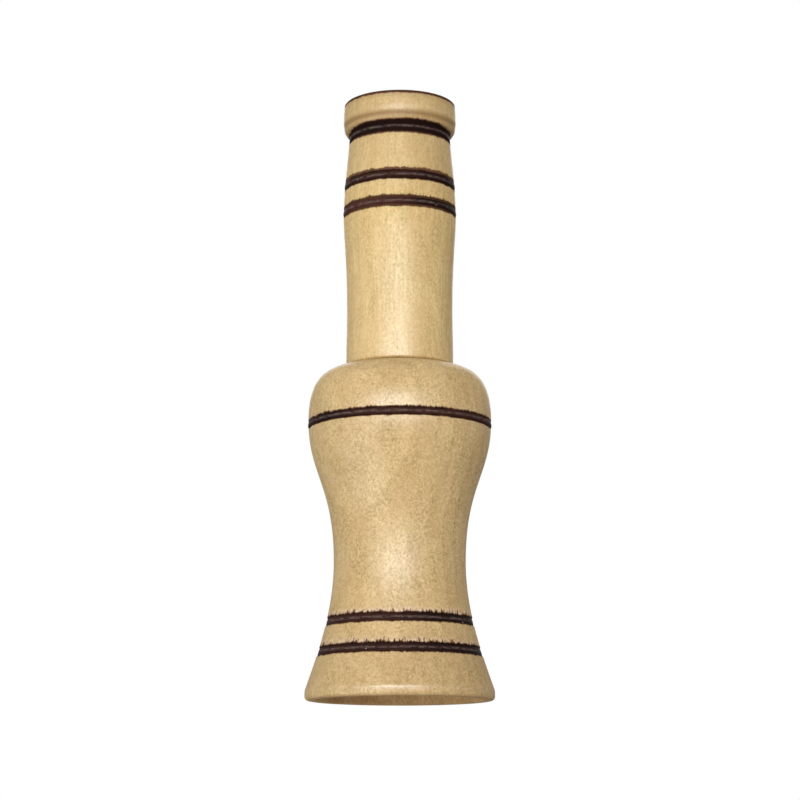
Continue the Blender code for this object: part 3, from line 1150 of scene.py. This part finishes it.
@dataclass
class Bell:
    """The flared lower half, one turned piece with its tenon, bulb, waist, flare and hollow.

    A pull is how far a curve keeps its direction past a point, as a share of the curve's length.
    """

    fits: Fits
    rim_radius: float
    tenon_top: float
    ring_heights: tuple[float, ...]
    ring_cord: float
    seat: float = 71.0 * MM
    seat_margin: float = 0.25 * MM
    shoulder_fall: float = 0.5 * MM
    shoulder_pull: float = 0.5
    belly_radius: float = 19.6 * MM
    belly_drop: float = 11.4 * MM
    belly_pull_up: float = 0.83
    belly_pull_down: float = 0.38
    waist: Point = (14.0 * MM, 28.9 * MM)
    waist_pull_up: float = 0.55
    waist_pull_down: float = 0.4
    flare_angle: float = math.radians(19)
    flare_pull: float = 0.25
    rim_round: float = 0.8 * MM
    rim_roll: float = 2.2 * MM
    rim_roll_height: float = 1.6 * MM
    rim_land: float = 1.2 * MM
    rim_inner_round: float = 0.6 * MM
    hollow_angle: float = math.radians(24)
    hollow_depth: float = 34.0 * MM
    hollow_pull: float = 0.35
    throat_pull: float = 0.27
    socket_floor: float = 65.0 * MM
    chamfer: float = 0.5 * MM
    beads: tuple[Bead, ...] = (
        Bead(58.4 * MM, 0.1 * MM),
        Bead(16.3 * MM, -0.1 * MM),
        Bead(10.0 * MM, -0.1 * MM),
    )
    sides: int = 256

    def tenon_outline(self) -> list[Point]:
        """Draws the tenon.

        Returns:
            Points from its top down to the seat.
        """
        radius = self.fits.tenon
        points = [(radius - self.chamfer, self.tenon_top), (radius, self.tenon_top - self.chamfer)]
        half = self.ring_cord / 2 + self.fits.ring_gap
        for height in self.ring_heights:
            points += ring_groove(radius, self.fits.tenon_groove, height, half)
        return [*points, (radius, self.seat)]

    def side_outline(self) -> list[Point]:
        """Draws the outer side.

        Returns:
            Points from the seat over the bulb and waist to the rim's flat.
        """
        seat = (self.fits.foot + self.seat_margin, self.seat)
        belly = (self.belly_radius, self.seat - self.belly_drop)
        roll = (self.rim_radius - self.rim_roll, self.rim_roll_height)
        corner = (self.rim_radius - self.rim_round, self.rim_round)
        rim = arc(roll, self.rim_roll, self.flare_angle, 0, steps=12)
        rim += arc(corner, self.rim_round, 0, -math.pi / 2, steps=12)
        bulb = belly[1] - self.waist[1]
        flare = self.waist[1] - rim[0][1]
        pull = self.flare_pull * flare
        to_rim = (-pull * math.sin(self.flare_angle), pull * math.cos(self.flare_angle))
        along_shoulder = (self.shoulder_pull * (belly[0] - seat[0]), -self.shoulder_fall)
        over_belly = (0, self.belly_pull_up * self.belly_drop)
        under_belly = (0, -self.belly_pull_down * bulb)
        over_waist = (0, self.waist_pull_up * bulb)
        under_waist = (0, -self.waist_pull_down * flare)
        side = bezier(seat, along_shoulder, over_belly, belly, steps=30)
        side += bezier(belly, under_belly, over_waist, self.waist, steps=34)
        side += bezier(self.waist, under_waist, to_rim, rim[0], steps=28)
        return with_beads(side, self.beads) + rim

    def hollow_outline(self) -> list[Point]:
        """Draws the inside.

        Returns:
            Points from the rim's flat up the hollow and throat to the socket's mouth.
        """
        centre = (self.rim_radius - self.rim_round - self.rim_land, self.rim_inner_round)
        lip = arc(centre, self.rim_inner_round, -math.pi / 2, self.hollow_angle - math.pi, steps=8)
        mouth = lip.pop()
        throat = (self.fits.throat, self.hollow_depth)
        length = throat[1] - mouth[1]
        pull = self.hollow_pull * length
        from_mouth = (-pull * math.sin(self.hollow_angle), pull * math.cos(self.hollow_angle))
        return [
            *lip,
            *bezier(mouth, from_mouth, (0, -self.throat_pull * length), throat, steps=30),
            throat,
            (self.fits.throat, self.socket_floor),
            (self.fits.socket, self.socket_floor),
            (self.fits.socket, self.tenon_top - self.chamfer),
            (self.fits.socket + self.chamfer, self.tenon_top),
        ]

    def build(self) -> Piece:
        """Turns the bell as one closed piece."""
        outline = self.tenon_outline() + self.side_outline() + self.hollow_outline()
        return turn_on_lathe("bell_turned", [*outline, outline[0]], self.sides)

    def hollow(self, face: Face) -> bool:
        """Says whether a face is on the inside or on the rim's underside."""
        under = face.normal.z < FACES_DOWN and face.calc_center_median().z < self.rim_round
        return under or outward(face) < FACES_INWARD

    def joint(self, face: Face) -> bool:
        """Says whether a face is on the tenon or its seat."""
        return face.calc_center_median().z > self.seat - NEAR and outward(face) >= FACES_INWARD

    def burnt(self, face: Face) -> bool:
        """Says whether a face lies on a charred bead."""
        return outward(face) > 0 and any(scorch.covers(face) for scorch in self.scorches())

    def scorches(self) -> tuple[Scorch, ...]:
        """Places the burnt rings.

        Returns:
            The rings, from the bulb down.
        """
        bulb, flare, rim = (bead.height / MM for bead in self.beads)
        return (
            Scorch(bulb, 0.82, 0.35, core=0.72, red=0.5, red_side=25.0),
            Scorch(flare, 0.87, 0.85, core=0.76, red=0.45, red_side=-50.0),
            Scorch(rim, 0.92, 0.95, core=0.78, red=0.3, red_side=-40.0),
        )

    def gloss_and_shade_rings(self) -> tuple[GlossAndShadeRing, ...]:
        """Places the rings of thicker lacquer.

        Returns:
            The rings round the bulb, in the waist, on the flare and on the rim's roll.
        """
        return (
            GlossAndShadeRing(self.beads[0].height / MM, 6.0, gloss=0.12),
            GlossAndShadeRing(self.waist[1] / MM, 9.0, gloss=0.03),
            GlossAndShadeRing(self.beads[-1].height / MM - 4.0, 12.0, shade_and_tone=0.16),
            GlossAndShadeRing(1.8, 1.0, gloss=0.14),
        )

    def wood(self) -> LacqueredWood:
        """Chooses the wood.

        Returns:
            The finish of the outside.
        """
        return LacqueredWood(
            "bell_wood",
            pale=(0.81, 0.607, 0.308),
            deep=(0.39, 0.249, 0.092),
            warm=(0.61, 0.412, 0.195),
            growth=Growth(pith=(46.0, 61.0, 0.0), ring_width=3.1, along=0.9),
            fibre=0.12,
            figure=0.6,
            scorches=self.scorches(),
            gloss_and_shade_rings=self.gloss_and_shade_rings(),
        )

    def dress(self, piece: Piece) -> None:
        """Gives the outside its lacquer, the beads their char and the rest its bare wood.

        Args:
            piece: The turned bell.
        """
        wood = self.wood()
        others = (
            (wood.bare("hollow", (0.92, 0.81, 0.76)).material(), self.hollow),
            (wood.bare("joint", (1.0, 0.97, 0.96)).material(), self.joint),
            (BurntWood("bell_char", self.scorches()).material(), self.burnt),
        )
        dress_faces(piece, wood.material(), others)
        hand_over(piece, "bell", Body.BELL)


@dataclass
class Mouthpiece:
    """The long neck and its lip, one turned piece with a straight bore.

    A pull is how far a curve keeps its direction past a point, as a share of the curve's length.
    """

    fits: Fits
    foot: float
    top: float
    lip_radius: float
    foot_chamfer: float = 0.3 * MM
    foot_lead: float = 0.5 * MM
    neck_radius: float = 11.43 * MM
    neck_rise: float = 11.8 * MM
    neck_pull_up: float = 0.55
    swell_radius: float = 12.24 * MM
    swell_drop: float = 26.2 * MM
    swell_pull_up: float = 0.43
    swell_pull_down: float = 0.15
    collar_radius: float = 10.99 * MM
    collar_drop: float = 7.2 * MM
    collar_pull: float = 0.6
    cove_drop: float = 0.5 * MM
    lip_drop: float = 4.5 * MM
    lip_pull: float = 0.5
    lip_top_radius: float = 12.15 * MM
    lip_edge: float = 0.3 * MM
    lip_line: Hairline = Hairline(125.05 * MM, 0.85 * MM, 0.11 * MM)
    mouth_flare: float = 1.2 * MM
    mouth_flare_depth: float = 3.0 * MM
    flare_pull_up: float = 0.6
    flare_pull_in: float = 0.5
    bead_drops: tuple[float, ...] = (18.5 * MM, 24.6 * MM)
    bead_rise: float = 0.1 * MM
    sides: int = 224

    def side_outline(self) -> list[Point]:
        """Draws the outer side.

        Returns:
            Points from the top of the lip down the neck to the foot.
        """
        edge = (self.lip_top_radius, self.top - self.lip_edge)
        lip = (self.lip_radius, self.top - self.lip_drop)
        collar = (self.collar_radius, self.top - self.collar_drop)
        swell = (self.swell_radius, self.top - self.swell_drop)
        neck = (self.neck_radius, self.foot + self.neck_rise)
        foot = (self.fits.foot, self.foot + self.foot_chamfer)
        crown = self.lip_drop - self.lip_edge
        fall = lip[1] - collar[1]
        overhang = self.collar_pull * (lip[0] - collar[0])
        cone = (swell[0] - collar[0], swell[1] - collar[1])
        grip = swell[1] - neck[1]
        base = neck[1] - foot[1]
        over_swell = (0, -self.swell_pull_up * cone[1])
        under_swell = (0, -self.swell_pull_down * grip)
        side = arc((edge[0] - self.lip_edge, edge[1]), self.lip_edge, math.pi / 2, 0, steps=8)[:-1]
        side += bezier(edge, ((lip[0] - edge[0]) / 2, -crown / 3), (0, crown / 2), lip, steps=30)
        side += bezier(lip, (0, -self.lip_pull * fall), (overhang, overhang), collar, steps=40)
        side = [(radius - self.lip_line.depth_at(height), height) for radius, height in side]
        shaft = bezier(collar, (cone[0] / 3, cone[1] / 3), over_swell, swell, steps=18)
        shaft += bezier(swell, under_swell, (0, self.neck_pull_up * grip), neck, steps=20)
        shaft += bezier(neck, (0, -base / 3), (0, base / 3), foot, steps=10)
        shaft += [foot, (self.fits.foot - self.foot_chamfer, self.foot)]
        beads = [Bead(self.top - drop, self.bead_rise) for drop in self.bead_drops]
        return side + with_beads(shaft, beads)

    def bore_outline(self) -> list[Point]:
        """Draws the bore.

        Returns:
            Points from the foot up to the lip.
        """
        bore = self.fits.bore
        start = (bore, self.top - self.mouth_flare_depth)
        end = (bore + self.mouth_flare, self.top)
        up = (0, self.flare_pull_up * self.mouth_flare_depth)
        inward = (-self.flare_pull_in * self.mouth_flare, 0)
        foot = [(bore + self.foot_lead, self.foot), (bore, self.foot + self.foot_lead)]
        return [*foot, *bezier(start, up, inward, end, steps=14), end]

    def build(self) -> Piece:
        """Turns the mouthpiece as one closed piece."""
        outline = self.side_outline() + self.bore_outline()
        return turn_on_lathe("mouthpiece_turned", [*outline, outline[0]], self.sides)

    def bored(self, face: Face) -> bool:
        """Says whether a face is in the bore below its flare, or on the foot.

        Args:
            face: A face of the mouthpiece.

        Returns:
            Whether it gets bare wood.
        """
        height = face.calc_center_median().z
        inside = outward(face) < FACES_INWARD and height < self.top - self.mouth_flare_depth
        return inside or height < self.foot + NEAR

    def burnt(self, face: Face) -> bool:
        """Says whether a face lies on a charred bead or in the cove under the lip."""
        return outward(face) > 0 and any(scorch.covers(face) for scorch in self.scorches()[1:])

    def scorches(self) -> tuple[Scorch, ...]:
        """Places the burnt rings.

        Returns:
            The rings, from the lip's edge down. The first is a light one.
        """
        top = self.top / MM
        upper, lower = (top - drop / MM for drop in self.bead_drops)
        cove = top - self.collar_drop / MM - self.cove_drop / MM
        edge = (self.lip_top_radius - self.lip_edge) / MM
        return (
            Scorch(top, 0.55, 0.2, inner_radius=edge, strength=0.5),
            Scorch(cove, 1.3, 0.1, singe_below=0.3, side_loss=0.7, core=0.6, red=-0.1),
            Scorch(upper - 0.25, 1.03, 0.1, singe_above=0.55, red=0.35, red_side=-30.0),
            Scorch(lower - 0.08, 1.15, 0.4, strength=0.55, red=1.0, red_side=-50.0),
        )

    def gloss_and_shade_rings(self) -> tuple[GlossAndShadeRing, ...]:
        """Places the rings where the colour and the lacquer differ.

        Returns:
            The rings on the lip and by its line, two of them painted shade under the lip's ridge, at the lower
            bead, below the swell and at the foot.
        """
        line = self.lip_line.height / MM
        return (
            # Darker towards the lip's top edge.
            GlossAndShadeRing(self.top / MM, 2.4, shade_and_tone=0.5),
            GlossAndShadeRing(line, 24.0, shade_and_tone=0.24),
            # Painted shade: a dark band under the lip's ridge, where the lip turns down, with thinner lacquer.
            GlossAndShadeRing(line - 0.15, 1.2, shade_and_tone=0.9, gloss=-0.1),
            GlossAndShadeRing(line + 1.4, 0.8, gloss=0.15),
            # Painted shade: a darker band on the lip's underside beside the cove.
            GlossAndShadeRing(line - 1.65, 0.9, shade_and_tone=0.7, gloss=-0.05),
            GlossAndShadeRing((self.top - self.bead_drops[-1]) / MM, 6.0, gloss=-0.1),
            GlossAndShadeRing((self.top - self.swell_drop) / MM - 3.0, 14.0, gloss=-0.06),
            GlossAndShadeRing(self.foot / MM, 14.0, gloss=0.07),
        )

    def wood(self) -> LacqueredWood:
        """Chooses the wood.

        Returns:
            The finish of the outside.
        """
        return LacqueredWood(
            "neck_wood",
            pale=(0.865, 0.665, 0.328),
            deep=(0.485, 0.324, 0.122),
            warm=(0.69, 0.475, 0.222),
            growth=Growth(pith=(-38.0, 70.0, 0.0), ring_width=2.7, along=0.75),
            fibre=0.24,
            figure=0.46,
            scorches=self.scorches(),
            gloss_and_shade_rings=self.gloss_and_shade_rings(),
        )

    def dress(self, piece: Piece) -> None:
        """Gives the outside its lacquer, the beads and cove their char and the bore its bare wood.

        Args:
            piece: The turned mouthpiece.
        """
        wood = self.wood()
        others = (
            (wood.bare("bore", (0.92, 0.84, 0.8)).material(), self.bored),
            (BurntWood("neck_char", self.scorches()[1:]).material(), self.burnt),
        )
        dress_faces(piece, wood.material(), others)
        hand_over(piece, "mouthpiece", Body.MOUTHPIECE)


@dataclass
class RubberRing:
    """A round rubber ring with the fine parting line that its mould leaves."""

    node: str
    outer_radius: float
    cord: float
    height: float
    flash: float = 0.03 * MM
    flash_spread: float = 1.4
    line_share: float = 0.02
    sides: int = 128
    cord_sides: int = 24

    @classmethod
    def from_node(cls, node: str) -> "RubberRing":
        """Reads a ring's size and place from its node."""
        low, high = corners(node)
        return cls(node, high.x, high.z - low.z, (low.z + high.z) / 2)

    def on_outer_line(self, edge: bmesh.types.BMEdge) -> bool:
        """Says whether an edge runs round the ring's widest line, seen from the ring's own middle."""
        limit = self.outer_radius - self.line_share * self.cord
        return all(math.hypot(v.co.x, v.co.y) > limit and abs(v.co.z) < MERGE for v in edge.verts)

    def build(self) -> Piece:
        """Makes the ring and draws out its parting line.

        Returns:
            The ring.
        """
        start_fresh()
        bpy.ops.mesh.primitive_torus_add(
            location=(0, 0, self.height),
            major_radius=self.outer_radius - self.cord / 2,
            minor_radius=self.cord / 2,
            major_segments=self.sides,
            minor_segments=self.cord_sides,
        )
        piece = bpy.context.object
        piece.name = f"{self.node}_moulded"
        grown = (self.outer_radius + self.flash) / self.outer_radius
        with editing(piece):
            select(piece, Element.EDGES, self.on_outer_line)
            bpy.ops.mesh.bevel(offset=self.flash_spread * self.flash, segments=2, affect="EDGES")
            select(piece, Element.EDGES, self.on_outer_line)
            bpy.ops.transform.resize(value=(grown, grown, 1), center_override=(0, 0, self.height))
        return piece

    def dress(self, piece: Piece, rubber: Material, body: Body, slot: Slot) -> None:
        """Gives the ring its rubber and hands it over."""
        piece.data.materials.append(rubber)
        hand_over(piece, self.node, body, smooth=60)


@dataclass
class Wedge:
    """The tapered cork block that clamps the reed's tail, with a hand-cut surface."""

    low: Vector
    high: Vector
    taper: float = 0.6 * MM
    edge: float = 0.15 * MM
    roughness: float = 0.035 * MM
    cuts: int = 11
    seed: int = 4
    off_corner: Triple = (0.13 * MM, 0.37 * MM, 0.71 * MM)

    def build(self) -> Piece:
        """Cuts the block, tapers it, rounds its edges and roughens its skin.

        The skin's points are counted from just off one corner, so that each gets the same draw in every run.

        Returns:
            The wedge.
        """
        inset = Vector((self.roughness, self.roughness, self.roughness))
        low = self.low + inset
        high = self.high - inset
        outline = [(low.y + self.taper, low.z), (high.y, low.z), (high.y, high.z), (low.y, high.z)]
        piece = extrude_outline("wedge_cut", outline, high.x - low.x)
        break_edges(piece, self.edge)
        with editing(piece):
            bpy.ops.mesh.subdivide(number_cuts=self.cuts)
            bpy.ops.mesh.select_all(action="SELECT")
            count_points_from(self.low - Vector(self.off_corner))
            bpy.ops.transform.vertex_random(offset=self.roughness, uniform=0.3, normal=0.6, seed=self.seed)
        return piece

    def dress(self, piece: Piece) -> None:
        """Gives the wedge its cork and hands it over."""
        piece.data.materials.append(Cork("wedge_cork").material())
        hand_over(piece, "wedge", Body.REED_UNIT)


@dataclass
class Toneboard:
    """The plug, notch and tongue, with the drilled sound way that opens into the trough."""

    fits: Fits
    ring: RubberRing
    wedge: Wedge
    radius: float
    foot: float
    tip: float
    face: float = 0.9 * MM
    face_steps: int = 24
    tip_drop: float = 0.9 * MM
    tip_round: float = 2.0 * MM
    chamfer: float = 0.5 * MM
    notch_gap: float = 0.3 * MM
    drill_radius: float = 2.1 * MM
    drill_sides: int = 64
    trough_setback: float = 6.5 * MM
    edge: float = 0.1 * MM
    sides: int = 96

    def rod_outline(self) -> list[Point]:
        """Draws the uncut rod.

        Returns:
            Points from the middle of its tip to the middle of its foot.
        """
        centre = (self.radius - self.tip_round, self.tip - self.tip_round)
        half = self.ring.cord / 2 + self.fits.ring_gap
        return [
            (0.0, self.tip),
            *arc(centre, self.tip_round, math.pi / 2, 0, steps=10),
            *ring_groove(self.radius, self.fits.plug_groove, self.ring.height, half),
            (self.radius, self.foot + self.chamfer),
            (self.radius - self.chamfer, self.foot),
            (0.0, self.foot),
        ]

    def reed_space(self) -> Piece:
        """Makes the shape that is cut away in front of the tone face and for the notch.

        Returns:
            The cutter.
        """
        clear = 2 * self.radius
        past = self.tip + clear
        floor = self.wedge.low.z - self.notch_gap
        front = self.wedge.low.y - self.notch_gap
        plug_top = self.wedge.high.z
        length = self.tip - plug_top
        outline = [(front + self.wedge.taper, floor), (self.face, floor)]
        for step in range(self.face_steps + 1):
            share = step / self.face_steps
            outline.append((self.face + self.tip_drop * share**2, plug_top + share * length))
        outline += [(outline[-1][0], past), (-clear, past), (-clear, plug_top), (front, plug_top)]
        return extrude_outline("reed_space", outline, 2 * clear)

    def sound_way(self) -> Piece:
        """Makes the ball-ended drill's shape.

        Returns:
            The cutter.
        """
        end = self.tip - self.trough_setback
        ball = arc((0.0, end - self.drill_radius), self.drill_radius, math.pi / 2, 0, steps=14)
        ball[0] = (0.0, end)
        past = self.foot - 2 * self.radius
        outline = [*ball, (self.drill_radius, past), (0.0, past)]
        drill = turn_on_lathe("sound_way", outline, self.drill_sides)
        drill.location = (0, self.face, 0)
        bpy.context.view_layer.update()
        return drill

    def build(self) -> Piece:
        """Turns the rod, cuts it and breaks its edges.

        Returns:
            The toneboard.
        """
        piece = turn_on_lathe("toneboard_cut", self.rod_outline(), self.sides)
        cut_away(piece, self.reed_space())
        cut_away(piece, self.sound_way())
        break_edges(piece, self.edge)
        return piece

    def dress(self, piece: Piece) -> None:
        """Gives the toneboard its plastic and hands it over."""
        piece.data.materials.append(MouldedPlastic("toneboard_plastic").material())
        hand_over(piece, "toneboard", Body.REED_UNIT)


@dataclass
class Reed:
    """The thin strip that sounds, with round tip corners."""

    low: Vector
    high: Vector
    corner: float = 1.5 * MM
    corner_steps: int = 10
    edge: float = 0.05 * MM
    edge_angle: float = math.radians(60)

    def at_tip(self, vertex: bmesh.types.BMVert) -> bool:
        """Says whether a vertex is at the reed's tip."""
        return vertex.co.z > self.high.z - MERGE

    def build(self) -> Piece:
        """Cuts the strip from a plate, rounds its tip and breaks its edges.

        Returns:
            The reed.
        """
        start_fresh()
        size = self.high - self.low
        middle = (0, self.high.y, (self.low.z + self.high.z) / 2)
        bpy.ops.mesh.primitive_plane_add(size=1, location=middle, rotation=(math.pi / 2, 0, 0))
        piece = bpy.context.object
        piece.name = "reed_strip"
        piece.scale = (size.x, size.z, 1)
        bpy.ops.object.transform_apply(location=True, rotation=True, scale=True)
        with editing(piece):
            select(piece, Element.VERTICES, self.at_tip)
            bpy.ops.mesh.bevel(offset=self.corner, segments=self.corner_steps, affect="VERTICES")
            bpy.ops.mesh.select_all(action="SELECT")
            bpy.ops.mesh.extrude_region_move(TRANSFORM_OT_translate={"value": (0, -size.y, 0)})
            turn_outwards()
        break_edges(piece, self.edge, self.edge_angle)
        return piece

    def dress(self, piece: Piece) -> None:
        """Gives the reed its film and hands it over."""
        piece.data.materials.append(Film("reed_film").material())
        hand_over(piece, "reed", Body.REED)


# Studio


@dataclass(frozen=True)
class SoftBox:
    """A soft rectangular lamp that looks at a point, with its angles in degrees."""

    name: str
    azimuth: float
    elevation: float
    width: float
    height: float
    radiance: float
    distance: float = 1.1
    colour: Colour = (1.0, 1.0, 1.0)

    def place(self, target: Vector) -> None:
        """Hangs the lamp.

        Args:
            target: What it looks at.
        """
        lamp = bpy.data.lights.new(self.name, "AREA")
        lamp.shape = "RECTANGLE"
        lamp.size = self.width
        lamp.size_y = self.height
        lamp.energy = self.radiance * math.pi * self.width * self.height
        lamp.color = self.colour
        turn = math.radians(self.azimuth)
        rise = math.radians(self.elevation)
        away = Vector((math.sin(turn) * math.cos(rise), -math.cos(turn) * math.cos(rise), math.sin(rise)))
        stand = bpy.data.objects.new(self.name, lamp)
        stand.location = target + self.distance * away
        stand.rotation_euler = (-away).to_track_quat("-Z", "Y").to_euler()
        bpy.context.scene.collection.objects.link(stand)


@dataclass
class Studio:
    """The pale floor, the white surround, the lamps and the camera."""

    target: Vector
    hole: float
    ambient: float = 0.26
    mirrored: float = 0.25
    floor_size: float = 6.0
    floor_sides: int = 96
    floor_grey: Colour = (0.86, 0.86, 0.86)
    floor_glow: float = 0.4
    floor_fade: tuple[float, float] = (0.15, 0.9)
    camera_distance: float = 474.2 * MM
    camera_height: float = -26.5 * MM
    camera_side: float = 0.05 * MM
    camera_pitch: float = math.radians(10.83)
    camera_near: float = 10.0 * MM
    lens_mm: float = 101.0
    sensor_mm: float = 36.0
    lamps: tuple[SoftBox, ...] = (
        SoftBox("key_softbox", -5.0, 11.0, width=0.92, height=0.28, radiance=5.6),
        SoftBox("wide_panel", -8.0, 10.0, width=2.2, height=0.4, radiance=2.6),
        SoftBox("low_bounce", -52.0, -26.0, width=1.2, height=0.6, radiance=1.75),
        SoftBox("warm_side", 72.0, -5.0, width=0.8, height=0.8, radiance=0.45, colour=(1.0, 0.72, 0.4)),
        SoftBox("back_fill", 178.0, 35.0, width=1.0, height=1.0, radiance=2.2, distance=1.2),
    )

    def floor(self) -> None:
        """Lays a pale floor that takes shadows and shows from above only, open under the bell's mouth."""
        start_fresh()
        bpy.ops.mesh.primitive_circle_add(vertices=self.floor_sides, radius=self.hole, fill_type="NOTHING")
        floor = bpy.context.object
        floor.name = "studio_floor"
        grown = self.floor_size / self.hole
        with editing(floor):
            bpy.ops.mesh.extrude_edges_move(TRANSFORM_OT_translate={"value": (0, 0, 0)})
            bpy.ops.transform.resize(value=(grown, grown, 1))
            turn_outwards()
        if floor.data.polygons[0].normal.z < 0:
            floor.data.flip_normals()
        floor.data.materials.append(self.floor_paint())
        floor.visible_diffuse = False
        floor.visible_glossy = False
        floor.visible_shadow = False

    def floor_paint(self) -> Material:
        """Makes the floor's material: matte by the object, plain white further off, clear from below.

        Returns:
            The material.
        """
        material, graph, shader = new_material("floor_paint")
        graph.feed(shader, {"Base Color": self.floor_grey, "Roughness": 0.9, "Specular IOR Level": 0.1})
        away = graph.vector("LENGTH", graph.add("ShaderNodeTexCoord").outputs["Object"])
        fade = graph.spread(graph.between(away, *self.floor_fade), self.floor_glow, 1.0)
        behind = graph.add("ShaderNodeNewGeometry").outputs["Backfacing"]
        white = graph.add("ShaderNodeEmission").outputs["Emission"]
        clear = graph.add("ShaderNodeBsdfTransparent").outputs["BSDF"]
        surface = shader.outputs["BSDF"]
        for share, over in ((fade, white), (behind, clear)):
            surface = graph.add("ShaderNodeMixShader", {0: share, 1: surface, 2: over}).outputs["Shader"]
        graph.feed(material.node_tree.nodes["Material Output"], {"Surface": surface})
        return material

    def surround(self) -> None:
        """Makes the world: soft ambient light, white to the camera and dimmer in reflections."""
        world = bpy.data.worlds.new("studio_white")
        bpy.context.scene.world = world
        world.use_nodes = True
        graph = Graph(world.node_tree)
        rays = graph.add("ShaderNodeLightPath").outputs
        mirrored = graph.times(rays["Is Glossy Ray"], self.mirrored)
        seen = graph.math("MAXIMUM", rays["Is Camera Ray"], mirrored)
        seen = graph.math("MAXIMUM", seen, rays["Is Transmission Ray"])
        light = {"Color": (1.0, 1.0, 1.0), "Strength": graph.spread(seen, self.ambient, 1.0)}
        graph.feed(world.node_tree.nodes["Background"], light)

    def camera(self) -> None:
        """Sets the camera at the photograph's place."""
        lens = bpy.data.cameras.new("camera")
        lens.lens = self.lens_mm
        lens.sensor_width = self.sensor_mm
        lens.clip_start = self.camera_near
        stand = bpy.data.objects.new("camera", lens)
        stand.location = (self.camera_side, -self.camera_distance, self.camera_height)
        stand.rotation_euler = (math.pi / 2 + self.camera_pitch, 0, 0)
        bpy.context.scene.collection.objects.link(stand)
        bpy.context.scene.camera = stand

    def build(self) -> None:
        """Sets up the whole studio."""
        bpy.context.scene.view_settings.view_transform = "Standard"
        self.surround()
        self.floor()
        for lamp in self.lamps:
            lamp.place(self.target)
        self.camera()


def main() -> None:
    """Builds the pieces, dresses them and sets up the studio."""
    logging.basicConfig(level=logging.INFO)
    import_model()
    fits = Fits()
    upper = RubberRing.from_node("upper_o_ring")
    lower = RubberRing.from_node("lower_o_ring")
    plug_ring = RubberRing.from_node("toneboard_o_ring")

    bell_high = corners("bell")[1]
    bell = Bell(fits, bell_high.x, bell_high.z, (upper.height, lower.height), upper.cord)
    bell.dress(bell.build())
    mouth_low, mouth_high = corners("mouthpiece")
    mouthpiece = Mouthpiece(fits, mouth_low.z, mouth_high.z, mouth_high.x)
    mouthpiece.dress(mouthpiece.build())

    tenon_rubber = Rubber("tenon_rubber").material()
    for ring in (upper, lower):
        ring.dress(ring.build(), tenon_rubber, Body.TENON_RINGS, Slot.TENON_RUBBER)
    plug_rubber = Rubber("plug_rubber").material()
    plug_ring.dress(plug_ring.build(), plug_rubber, Body.REED_UNIT, Slot.PLUG_RUBBER)

    wedge = Wedge(*corners("wedge"))
    board_low, board_high = corners("toneboard")
    board = Toneboard(fits, plug_ring, wedge, board_high.x, board_low.z, board_high.z)
    board.dress(board.build())
    reed = Reed(*corners("reed"))
    reed.dress(reed.build())
    wedge.dress(wedge.build())

    middle = Vector((0, 0, mouth_high.z / 2))
    Studio(middle, bell.rim_radius - FLOOR_OVERLAP).build()

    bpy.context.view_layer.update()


if __name__ == "__main__":
    main()
